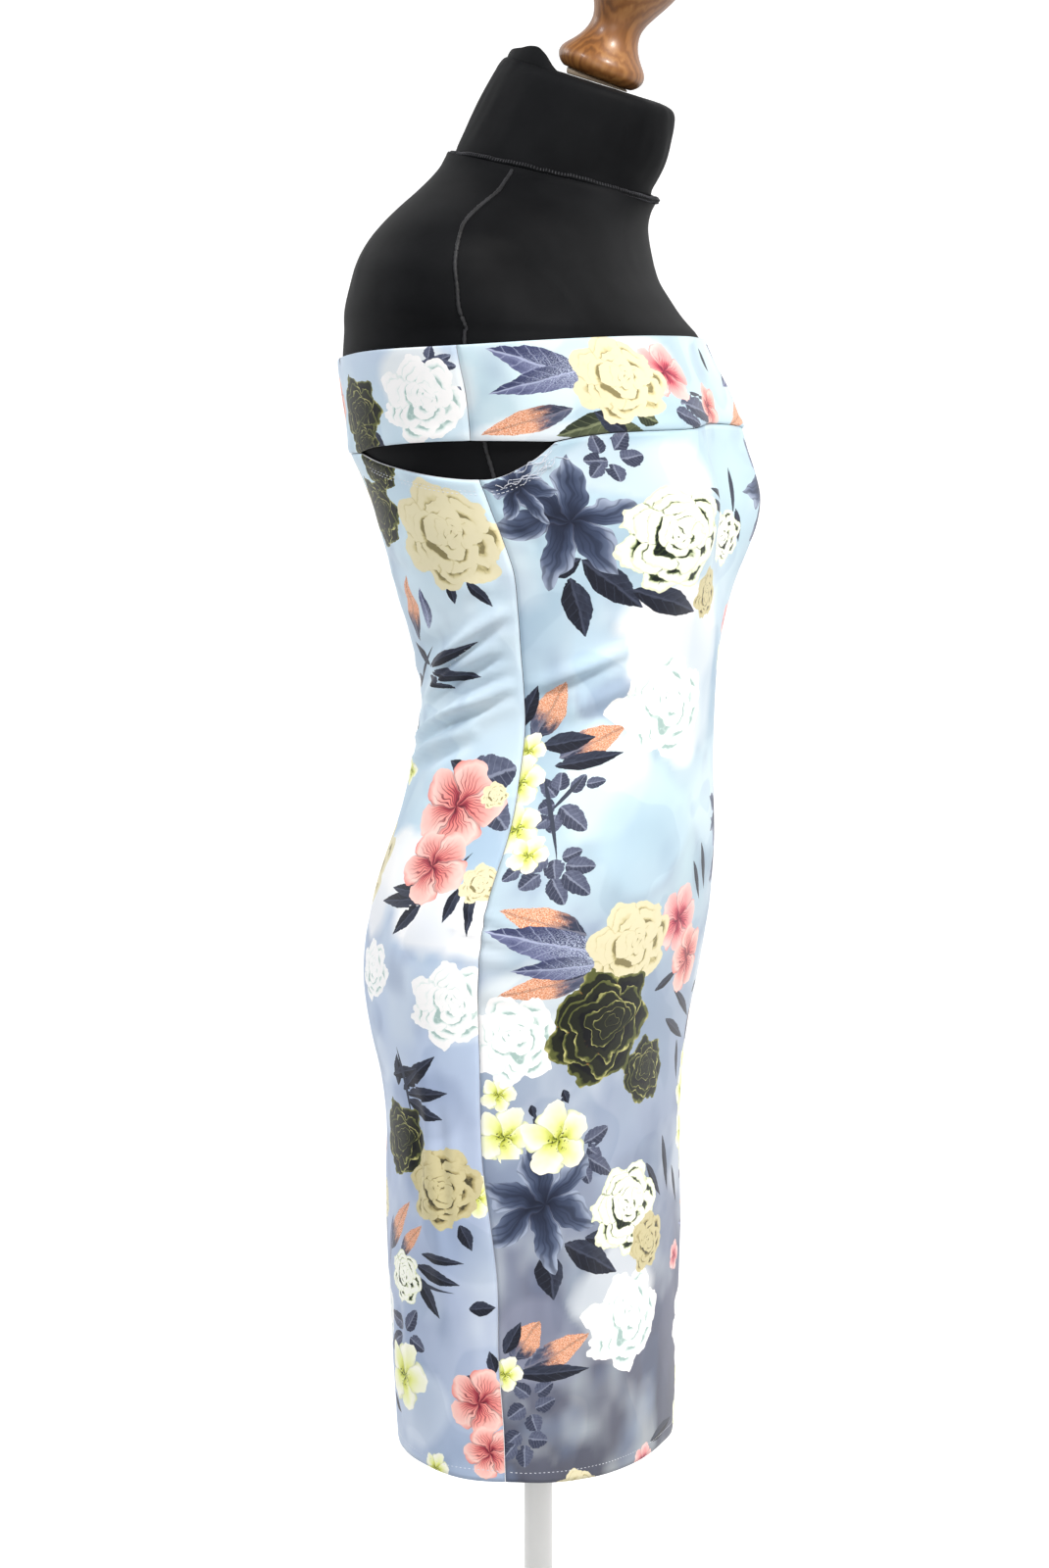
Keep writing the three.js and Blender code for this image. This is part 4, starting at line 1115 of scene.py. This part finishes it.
def apply_print(obj, outer, deg, z, centre, group, patches, base):
    """Writes the print's attributes and looks: outer is the number of faces on the
    right side, deg and z the columns and levels of every vertex."""
    mesh = obj.data
    corners = np.empty(len(mesh.loops), np.int32)
    mesh.loops.foreach_get("vertex_index", corners)
    corners = corners.reshape(-1, 4)
    around = deg[corners[:outer]]
    around = around[:, :1] + (around - around[:, :1] + 180) % 360 - 180
    printer = Printer(around, z[corners[:outer]])
    printer.leaves(group[1])
    printer.flowers(group[0])
    for (kind, index), values in printer.slots.items():
        rest = np.tile(FAR, (len(corners) - outer, 4, 1))
        write(mesh, f"{kind}{index}", "FLOAT_VECTOR", "CORNER", np.concatenate([values, rest]))
    paint = ground_colour(deg, z, patches, base)
    write(mesh, "ground", "FLOAT_COLOR", "POINT", np.column_stack([paint, np.ones(len(z))]))
    across = arc_between(centre + (deg - centre + 180) % 360 - 180, centre, z)
    write(mesh, "fabric", "FLOAT_VECTOR", "POINT", np.column_stack(
        [across / 100, lookup(RISE, centre, z) / 100, np.full(len(z), centre / 50)]))
    index = np.full(len(corners), len(LOOKS), np.int32)
    index[:outer] = (printer.used("leaf") + 2 * printer.used("bloom")
                     + 4 * printer.used("rose"))
    mesh.polygons.foreach_set("material_index", index)


# cloth pieces
def spread(level, hem, top):
    """Level of a mesh row at a column, stretched to the hem and the upper edge."""
    low = STRETCH_LOW + (level - STRETCH_LOW) * (hem - STRETCH_LOW) / (ROW_LOW - STRETCH_LOW)
    high = STRETCH_TOP + (level - STRETCH_TOP) * (top - STRETCH_TOP) / (ROW_TOP - STRETCH_TOP)
    return np.where(level < STRETCH_LOW, low, np.where(level > STRETCH_TOP, high, level))


def seam_dip(from_seam, z):
    """Share of the dip beside a seam, from the angle to it."""
    radius = 0.5 * (curve(SECTIONS, 2, z) + curve(SECTIONS, 3, z))
    return np.clip(1 - np.radians(from_seam) * radius / SEAM_DIP_WIDTH, 0, 1) ** 2


def stitch_dip(distance, stitch, line, rim):
    """Hollow along a stitch line, and the rounding of the edge."""
    return (line * np.exp(-((distance - stitch) / STITCH_DIP_WIDTH) ** 2)
            + rim * np.clip(1 - distance / STITCH_DIP_WIDTH, 0, 1))


def dress_panel(name, centre, count, corner, materials, *look):
    """Panel of the body and skirt about the front or back centre."""
    columns = np.unique([*np.linspace(centre - 90, centre + 90, count), centre - corner,
                         centre + corner])
    key = np.abs(np.where(columns > 180, 360 - columns, columns))[:, None]
    column, level = np.meshgrid(columns, np.linspace(ROW_LOW, ROW_TOP, 206), indexing="ij")
    hem, top = curve(HEM, 1, key), edge(BODICE_TOP, key)
    z = spread(level, hem, top)
    seam = curve(SIDE_SEAM, 1, z)
    span = 180 - seam if centre else seam
    deg = centre + (column - centre) * (span - SEAM_GAP_DEG) / 90
    in_arm = (key > ARM_FRONT) & (key < ARM_BACK)
    dip = (SEAM_DIP * seam_dip((90 - np.abs(column - centre)) / 90 * span, z)
           + stitch_dip(z - hem, HEM_STITCH, 0.35, 0.45)
           + in_arm * stitch_dip(top - z, ARM_STITCH, 0.30, 0.55))
    high = lift(deg, z) * np.clip((top - z) / np.where(in_arm, 14, 22), 0, 1)
    on, normal = cloth(deg, z), cloth_normal(deg, z)
    outer, inner = [on + normal * (high - depth - dip * (1 - 0.55 * depth / WALL))[..., None]
                    for depth in (0.0, WALL)]
    obj = shell(name, outer, inner, materials)
    apply_print(obj, (column.shape[0] - 1) * (column.shape[1] - 1), np.tile(deg.ravel(), 2),
                np.tile(z.ravel(), 2), centre, *look)
    return obj


def band_profile(height):
    """Loop of (rise, depth) round the doubled band: outer face, fold, inner face."""
    r = BAND_WALL / 2
    turn = np.linspace(0, math.pi, 7)[1:-1]
    return np.array([(h, 0.0) for h in np.linspace(r, height - r, 17)]
                    + [(height - r + r * math.sin(a), r - r * math.cos(a)) for a in turn]
                    + [(h, BAND_WALL) for h in np.linspace(height - r, r, 9)]
                    + [(r - r * math.sin(a), r + r * math.cos(a)) for a in turn])


def band_piece(name, low_deg, high_deg, count, centre, materials, *look):
    """Half of the doubled band, folded at its top edge."""
    columns = np.linspace(low_deg + BAND_GAP_DEG, high_deg - BAND_GAP_DEG, count)
    key = np.abs(np.where(columns > 180, columns - 360, columns))
    low, high = edge(BAND_BOTTOM, key), curve(BAND_TOP, 1, key)
    rise, depth = np.moveaxis(np.array([band_profile(h) for h in high - low]), -1, 0)
    loop = rise.shape[1]
    z = low[:, None] + rise
    deg = np.repeat(columns[:, None], loop, axis=1)
    from_end = np.minimum(columns - columns[0], columns[-1] - columns)[:, None]
    wave = soft_noise(deg / 14.0 + 60, z / 26.0, 17, 2) - 0.5
    slack = 1 + 1.3 * np.exp(-((deg + 12) / 26) ** 2) + 0.6 * np.exp(-((deg - 30) / 20) ** 2)
    bulge = (0.9 * wave * np.sin(np.pi * rise / (high - low)[:, None])
             + np.exp(-((rise - 3.0) / 4.5) ** 2) * BAND_FOOT_ROLL * slack)
    depth = depth + SEAM_DIP * seam_dip(from_end, z) * (1 - depth / BAND_WALL)
    top = np.minimum(z, CLOTH_TOP)
    points = cloth(deg, top)
    points[..., 2] = z
    points = points + cloth_normal(deg, top) * (bulge - depth)[..., None]
    faces = ring_faces(count, loop, flip=True)
    j = np.arange(loop // 2 - 1)
    end = np.stack([j, j + 1, loop - 2 - j, loop - 1 - j], -1)
    every = np.concatenate([faces, end, end[:, ::-1] + (count - 1) * loop])
    obj = mesh_from(name, points.reshape(-1, 3), every.tolist(), materials)
    apply_print(obj, len(faces), deg.ravel(), z.ravel(), centre, *look)
    return obj


def stitches(name, rows, material):
    """Stitches along lines of cloth places, each a pair of columns and levels."""
    points, faces = [], []
    one = solid_faces(4, 5, True)
    for deg, z in rows:
        line = over_cloth(deg, z, -0.28)
        run = np.concatenate([[0], np.cumsum(np.linalg.norm(np.diff(line, axis=0), axis=1))])
        for start in np.arange(1.0, run[-1] - STITCH, STITCH + STITCH_GAP):
            at = np.linspace(start, start + STITCH, 4)
            path = np.stack([np.interp(at, run, line[:, k]) for k in range(3)], -1)
            normal = cloth_normal(np.interp(at, run, deg), np.interp(at, run, z))
            path = path + normal * np.array([-0.25, 0.12, 0.12, -0.25])[:, None]
            tangent = unit(np.gradient(path, axis=0))
            side = unit(np.cross(tangent, normal))
            rings = strand_rings(path, THREAD, side, np.cross(side, tangent), 5, 0.7)
            faces += [[i + len(points) for i in face] for face in one]
            points.extend(rings.reshape(-1, 3))
    return mesh_from(name, points, faces, [material])


def arm_row(side, low, high, drop):
    """Line of places below the arm opening, on one side of the dress."""
    key = np.arange(low, high, 0.4)
    z = edge(BODICE_TOP, key) - drop
    seam = curve(SIDE_SEAM, 1, z)
    deg = np.where(key < 90, key * seam / 90, 180 - (180 - key) * (180 - seam) / 90)
    return side * deg, z


def hem_row(low, high, up):
    deg = np.arange(low, high, 0.4)
    key = np.abs((deg + 180) % 360 - 180)
    return deg, curve(HEM, 1, key) + up


def loose_threads(material):
    """Overlock threads that lie loose under the front of the right arm opening."""
    rng = np.random.default_rng(19)
    parts = []
    for _ in range(9):
        t = np.linspace(0, 1, 26)
        deg = -86 + 20 * rng.random() + (4 + 12 * rng.random()) * t
        key = np.clip(np.abs(deg), 60.0, 134.0)
        wander = soft_noise(t * 5 + 9 * rng.random(), t * 0 + 3.0, 61, 2) - 0.5
        z = edge(BODICE_TOP, key) - 1.5 - 9 * rng.random() - 7 * wander
        parts.append(tube("thread", over_cloth(deg, z, 0.25), LOOSE_THREAD, material, 4))
    return join("loose_threads", parts)


# the form under the dress
def form_ring(z, deg):
    """Outline of the covered torso at a level."""
    deg = np.asarray(deg, float)
    if z > SHOULDER_LEVEL:
        return leaning_ring(FORM_TOP, deg, z)
    under = np.interp(z, (560, 930, 985, 1012), (4.6, 4.6, 2.2, 3.4))
    return cloth(deg, float(z)) - cloth_normal(deg, min(float(z), 1079.0)) * under


def ring_normals(grid):
    return unit(np.cross(np.roll(grid, -1, 1) - np.roll(grid, 1, 1),
                         np.gradient(grid, axis=0)))


def crease(p, n, rows):
    """Raises or sinks points along soft lines in space: (from, to, width, height)."""
    for a, b, wide, high in rows:
        a, b = np.array(a, float), np.array(b, float)
        t = np.clip(((p - a) @ (b - a)) / ((b - a) @ (b - a)), 0, 1)
        gap = np.linalg.norm(p - (a + t[..., None] * (b - a)), axis=-1)
        p = p + n * (high * np.sin(np.pi * np.clip(0.1 + 0.8 * t, 0, 1))
                     * np.exp(-(gap / wide) ** 2))[..., None]
    return p


def torso(material):
    deg = circle(168, 360)
    levels = np.concatenate([np.arange(TORSO_FOOT, SHOULDER_LEVEL, 5.5),
                             np.linspace(SHOULDER_LEVEL, 1180, 38),
                             np.linspace(1181, 1189.5, 7)])
    grid = np.array([form_ring(z, deg) for z in levels])
    grid = crease(grid, ring_normals(grid), FORM_CREASES)
    foot = grid[0] * [0.985, 0.985, 1]
    foot[:, 2] = TORSO_FOOT - 0.8
    centre = grid[-1].mean(0)
    lid = [centre + (grid[-1] - centre) * share + [0, 0, up]
           for share, up in ((0.985, 0.25), (0.95, 0.3), (0.85, 0.3))]
    return ring_solid("torso_cover", [foot, *grid, *lid], material)


def neck(material):
    deg = circle(120, 360)
    levels = np.concatenate([np.linspace(1189.8, 1245, 24), np.linspace(1246.5, 1254, 10)])
    grid = np.array([leaning_ring(NECK, deg, z) for z in levels])
    around, level = np.meshgrid(deg / 360 * 64, levels / 34.0)
    wave = soft_noise(around, level, 23, 3) - 0.5
    hold = (np.clip((levels - 1191) / 12, 0, 1) * np.clip((1255.5 - levels) / 5, 0, 1))[:, None]
    return ring_solid("neck_cover", grid + ring_normals(grid) * (1.5 * wave * hold)[..., None],
                      material)


def neck_flap(material):
    """Loose edge of the cover that stands up at the back of the neck."""
    level, *row = NECK[-2]
    deg = np.linspace(-99, -238, 80)
    share = np.linspace(0, 1, 8)[None, :]
    x, y, z = leaning_oval(deg, level - 2.2, *row).T[..., None]
    middle = (row[3] - row[2]) / 2
    ruffle = soft_noise(deg / 17.0 + 30, deg * 0 + 5.0, 43, 2)[:, None]
    high = 1.8 + curve(FLAP_RISE, 1, deg)[:, None] * (0.88 + 0.24 * ruffle)
    layers = []
    for inset in (-0.4, FLAP_THICK - 0.4):
        lean = inset + 2.4 * share ** 2 + 1.6 * (ruffle - 0.5)
        reach = 1 - lean / np.hypot(x, y - middle)
        layers.append(np.stack([x * reach, middle + (y - middle) * reach, z + high * share], -1))
    return shell("neck_cover_edge", *layers, [material])


def neck_roll(material, whip):
    """Overlocked seam round the foot of the neck, with a wavy raw edge."""
    level, tilt, half_width, front, back, shape = NECK[0]
    deg = circle(220, 360)
    path = leaning_oval(deg, level + 1.5, tilt, half_width + 2.6, front + 2.6, back + 2.6, shape)
    reach = np.abs(np.cos(np.radians(deg)))
    path[:, 2] -= ROLL_DROOP * reach ** 3
    path[:, 1] *= 1 + 0.02 * reach
    wobble = soft_noise(deg / 5.0, deg * 0 + 3.0, 29, 2) - 0.5
    path = path + wobble[:, None] * [0.7, 0.5, 1.6]
    parts = [tube("neck_roll", path, 2.0 + 0.5 * wobble, material, 8, closed=True)]
    up = np.array([0, 0, 1.0])
    for a, b in zip(path, np.roll(path, -1, 0)):
        t = unit(b - a)
        side = unit(np.cross(t, up))
        lean = [a + 2.15 * (math.cos(w) * side + math.sin(w) * up) + t * 1.2 * w / 6.3
                for w in np.linspace(0, 5.4, 6)]
        parts.append(tube("wrap", lean, 0.32, whip, 4))
    return join("neck_roll", parts)


def seam_cord(name, places, material):
    """Overlocked ridge along a seam of the cover, through (degrees, level) places."""
    table = np.array([(i, *place) for i, place in enumerate(places)], float)
    keys = np.linspace(0, len(places) - 1, 190)
    path = []
    for deg, z in zip(curve(table, 1, keys), curve(table, 2, keys)):
        before, here, after = form_ring(z, [deg - 0.5, deg, deg + 0.5])
        above = form_ring(z + 0.8, [deg])[0]
        path.append(here + unit(np.cross(after - before, above - here)) * 0.3)
    steps = np.arange(len(path))
    wobble = soft_noise(steps / 4.0, np.full(len(path), 2.0), 37, 2) - 0.5
    return tube(name, path, 1.35 + 0.5 * wobble + 0.22 * np.sin(steps * 2.1), material, 7)


# washer and board
def washer(material):
    """Tan washer between the neck and the finial, with rounded rims."""
    level, tilt, _, front, back, _ = NECK[-1]
    _, centre, foot = FINIAL_FOOT
    under, top = math.radians(tilt), math.radians(FINIAL_TILT)
    t = circle(96)
    rings = []
    for radius, share in ((21.2, 0.0), (21.8, 0.12), (22.0, 0.35), (22.0, 0.65),
                          (21.8, 0.88), (21.2, 1.0)):
        y_low, y_top = [centre + radius * np.sin(t) * math.cos(lean) for lean in (under, top)]
        z_low = level + (y_low - (back - front) / 2) * math.tan(under) + 0.3
        z_top = foot - 0.3 + (y_top - centre) * math.tan(top)
        rings.append(np.stack([radius * np.cos(t), y_low * (1 - share) + y_top * share,
                               z_low * (1 - share) + z_top * share], -1))
    return ring_solid("neck_washer", rings, material)


def board(material):
    """Board that closes the torso below, with an eased edge."""
    flat = form_ring(TORSO_FOOT, circle(144, 360))[:, :2]
    long = np.linalg.norm(flat, axis=1, keepdims=True)
    rings = [np.pad(flat * (long - inset + 2.4) / long, ((0, 0), (0, 1)), constant_values=z)
             for inset, z in ((7.5, 580.7), (5.2, 581.4), (4.2, 583.0), (4.0, 586.0),
                              (4.0, 590.5), (4.6, 592.0), (6.0, 592.7))]
    return ring_solid("torso_base_board", rings, material)


# plain materials
def mottle(g, shader, place, scale, detail, *stops):
    g.feed(shader.inputs["Base Color"], g.ramp(g.noise(place, scale, detail), *stops))


def jersey():
    material, g, shader = new_material("black jersey", 0.62, 0.07, sheen_weight=0.004,
                                       sheen_roughness=0.5)
    place = g.wire("TexCoord", output="Object")
    mottle(g, shader, place, 14.0, 3.0, 0.35, "0f1012", 0.65, "18191b")
    weave = g.noise(place, 1500.0, 1.0)
    lint = g.step(g.noise(place, 260.0, 2.0, 0.7), 0.70, 0.80)
    g.bump(shader, 0.35, 0.15, weave * 0.6 + lint * 0.4)
    return material


def walnut():
    """Varnished wood with long grain along the finial's axis."""
    material, g, shader = new_material("varnished wood", 0.42, coat_weight=0.14,
                                       coat_roughness=0.16)
    upright = g.wire("VectorRotate", g.wire("TexCoord", output="Object"), None, None,
                     math.radians(-FINIAL_TILT), rotation_type="X_AXIS")
    long = g.vector("MULTIPLY", upright, (22.0, 22.0, 2.2))
    sway = g.noise(long, 2.0, 4.0, 0.6, "Color")
    x, y, _ = g.split(g.vector("ADD", long, g.scale(sway, 0.5)))
    rings = g.math("SINE", (x + y * 0.35) * 58.0)
    streak = g.clamp(rings * 0.13 + (g.noise(long, 2.0, 4.0, 0.6) * 0.9 + 0.04))
    g.feed(shader.inputs["Base Color"], g.ramp(
        streak, 0.10, "5c381b", 0.40, "845428", 0.64, "9c6b39", 0.90, "b58a58"))
    pores = g.noise(g.vector("MULTIPLY", upright, (900.0, 900.0, 60.0)), 1.0, 1.0)
    g.bump(shader, 0.12, 0.10, pores)
    return material


def speckled(name, low, high, roughness, scale):
    """Plain finish with a faint mottle and texture."""
    material, g, shader = new_material(name, roughness)
    place = g.wire("TexCoord", output="Object")
    mottle(g, shader, place, scale, 3.0, 0.35, low, 0.65, high)
    g.bump(shader, 0.15, 0.04, g.noise(place, scale * 30, 2.0))
    return material


# the set
def sweep_material():
    """White paper with a painted glow: an emission that is faint on the camera's side and strong
    behind the object, so the paper shows white.
    """
    material, g, shader = new_material("glowing white paper", 0.95, 0.1,
                                       emission_color=(1.0, 1.0, 1.0, 1.0))
    place = g.wire("TexCoord", output="Object")
    mottle(g, shader, place, 0.6, 2.0, 0.3, "b4b4b4", 0.7, "bababa")
    # painted glow: emission strength rises from faint on the camera's side (low x) to strong
    # behind the object (high x)
    g.feed(shader.inputs["Emission Strength"], g.step(g.split(place)[0], -0.6, 0.9, 0.05, 0.80))
    return material


def cyclorama(material):
    """Pale floor that curves up into a backdrop all round."""
    rows = [(0.0, 1.0), (0.0, 6000.0)]
    rows += [(2500 - 2500 * math.cos(a), 6000 + 2500 * math.sin(a))
             for a in np.linspace(0, math.pi / 2, 16)[1:]]
    rings = turned_rings(rows + [(9000.0, 8500.0)])
    return mesh_from("studio_sweep", rings.reshape(-1, 3),
                     ring_faces(*rings.shape[:2]).tolist(), [material])


def area_light(name, place, aim, size, watts, tint="ffffff"):
    data = bpy.data.lights.new(name, "AREA")
    data.shape = "DISK"
    data.size = size
    data.energy = watts
    data.color = colour(tint)[:3]
    lamp = new_object(name, data)
    lamp.location = place
    lamp.rotation_euler = (Vector(aim) - Vector(place)).to_track_quat("-Z", "Y").to_euler()


def world_light(strength):
    world = bpy.data.worlds.new("studio")
    world.use_nodes = True
    background = world.node_tree.nodes["Background"]
    background.inputs[0].default_value = (0.97, 0.985, 1.0, 1.0)
    background.inputs[1].default_value = strength
    bpy.context.scene.world = world


def add_camera():
    """The photograph's view: wearer's right side, a little from the front."""
    data = bpy.data.cameras.new("photo view")
    data.sensor_fit = "VERTICAL"
    data.sensor_height = 36.0
    data.lens = 36.0 * FOCAL_PIXELS / IMAGE_HEIGHT
    data.clip_end = 60.0
    camera = new_object("photo view", data)
    heading = math.radians(VIEW_DEG)
    forward = Vector((math.cos(heading), math.sin(heading), 0.0))
    left = Vector((-math.sin(heading), math.cos(heading), 0.0))
    camera.location = -forward * VIEW_DISTANCE + left * VIEW_SHIFT
    camera.location.z = VIEW_HEIGHT
    pitch = math.radians(VIEW_PITCH)
    look = forward * math.cos(pitch) - Vector((0, 0, math.sin(pitch)))
    camera.rotation_euler = look.to_track_quat("-Z", "Y").to_euler()
    bpy.context.scene.camera = camera


def root_piece(obj, slot, *nodes):
    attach(obj, "root")
    if nodes:
        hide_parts(*nodes)
    return obj


add_camera()

looks = [cloth_material("print " + " ".join(["ground", *kinds]), [
    (kind, i) for kind in kinds for i in range(SLOTS[kind])]) for kinds in LOOKS]
looks.append(reverse_material())
thread = speckled("pale thread", "c9cfdd", "e6e9f0", 0.7, 60.0)
black = jersey()
paint = speckled("white paint", "eff0ef", "f8f8f6", 0.38, 9.0)
ply = speckled("board wood", "b99a72", "cdb189", 0.6, 22.0)

front_half = (BODY_FRONT_FLOWERS, BODY_FRONT_LEAVES)
back_half = positive(BODY_BACK_FLOWERS, BODY_BACK_LEAVES)
band_half = (BAND_FRONT_FLOWERS, BAND_FRONT_LEAVES)
band_rear = positive(BAND_BACK_FLOWERS, BAND_BACK_LEAVES)
front = root_piece(
    dress_panel("dress_front", 0, 125, ARM_FRONT, looks, together(
        front_half, moved(within(front_half, -95, 2), -60, 96, -231, 300, 1010)),
        PATCHES_FRONT, GROUND_FRONT), "dress_print", "front_panel")
back = root_piece(
    dress_panel("dress_back", 180, 131, 180 - ARM_BACK, looks, together(
        back_half, moved(within(back_half, 210, 270), 250, -58, -231, 300, 1000),
        moved(within(back_half, 210, 274), 250, -116, 0, 300, 1000)),
        PATCHES_BACK, GROUND_BACK), "dress_print", "back_panel")
band_f = root_piece(
    band_piece("band_front_cloth", -BAND_SEAM_DEG, BAND_SEAM_DEG, 121, 0, looks, together(
        band_half, moved(band_half, -40, 88, 6, 0, 0)),
        PATCHES_BAND, GROUND_FRONT), "dress_print", "band_front")
band_b = root_piece(
    band_piece("band_back_cloth", BAND_SEAM_DEG, 360 - BAND_SEAM_DEG, 125, 180, looks, together(
        band_rear, moved(band_half, -40, 211, 4, 0, 0), moved(band_rear, 250, -136, -4, 0, 0)),
        PATCHES_BAND, GROUND_BACK), "dress_print", "band_back")

arm_stitch = root_piece(stitches("arm_stitching", [
    arm_row(side, low, high, drop)
    for side in (-1, 1) for low, high in ((65.5, 88.6), (91.2, 133.5))
    for drop in (ARM_STITCH - 1.1, ARM_STITCH + 1.1)], thread), "dress_print")
hem_stitch = root_piece(stitches("hem_stitching", [
    hem_row(low, high, HEM_STITCH) for low, high in ((-78.5, 78.5), (81.0, 279.0))],
    thread), "dress_print")
root_piece(loose_threads(thread), "dress_print")

root_piece(torso(black), "form_cover", "form_torso")
root_piece(neck(black), "form_cover", "form_neck")
root_piece(neck_flap(black), "form_cover")
whip = speckled("dark thread", "26272b", "45464c", 0.6, 60.0)
seam_black = speckled("seam thread", "131416", "242529", 0.6, 60.0)
root_piece(neck_roll(black, whip), "form_cover", "neck_seam")
for side, word in ((1, "right"), (-1, "left")):
    line = [(side * deg, z) for deg, z in SHOULDER_SEAM]
    root_piece(seam_cord(f"form_seam_{word}", line, seam_black), "form_cover")

heights = np.linspace(0, FINIAL_PROFILE[-1, 0], 90)
finial = revolve("finial_turned", np.column_stack(
    [heights, np.maximum(0.6, curve(FINIAL_PROFILE, 1, heights))]), walnut())
finial.data.transform(Matrix.Translation(Vector(FINIAL_FOOT) * MM)
                      @ Matrix.Rotation(math.radians(FINIAL_TILT), 4, "X"))
root_piece(finial, "finial_wood", "finial")
root_piece(washer(speckled("pale washer", "97826a", "b5a188", 0.55, 60.0)), "neck_plate",
           "neck_plate")
root_piece(board(ply), "torso_board", "torso_board")
for node, rows in STAND.items():
    root_piece(revolve(node + "_shown", rows, paint), "stand_metal", node)

cyclorama(sweep_material())
world_light(0.15)
area_light("key", (-1.7, -2.2, 3.7), (0, 0, 0.78), 0.7, 150, "fffaf4")
area_light("side", (-2.6, 1.6, 3.7), (0, 0, 0.8), 0.8, 56, "fafbff")
area_light("front fill", (-4.2, -0.6, 1.5), (0, 0, 0.75), 2.2, 34)
area_light("rear", (0.6, 3.6, 3.0), (0, 0, 0.9), 1.4, 26)
bpy.context.scene.view_settings.view_transform = "Standard"
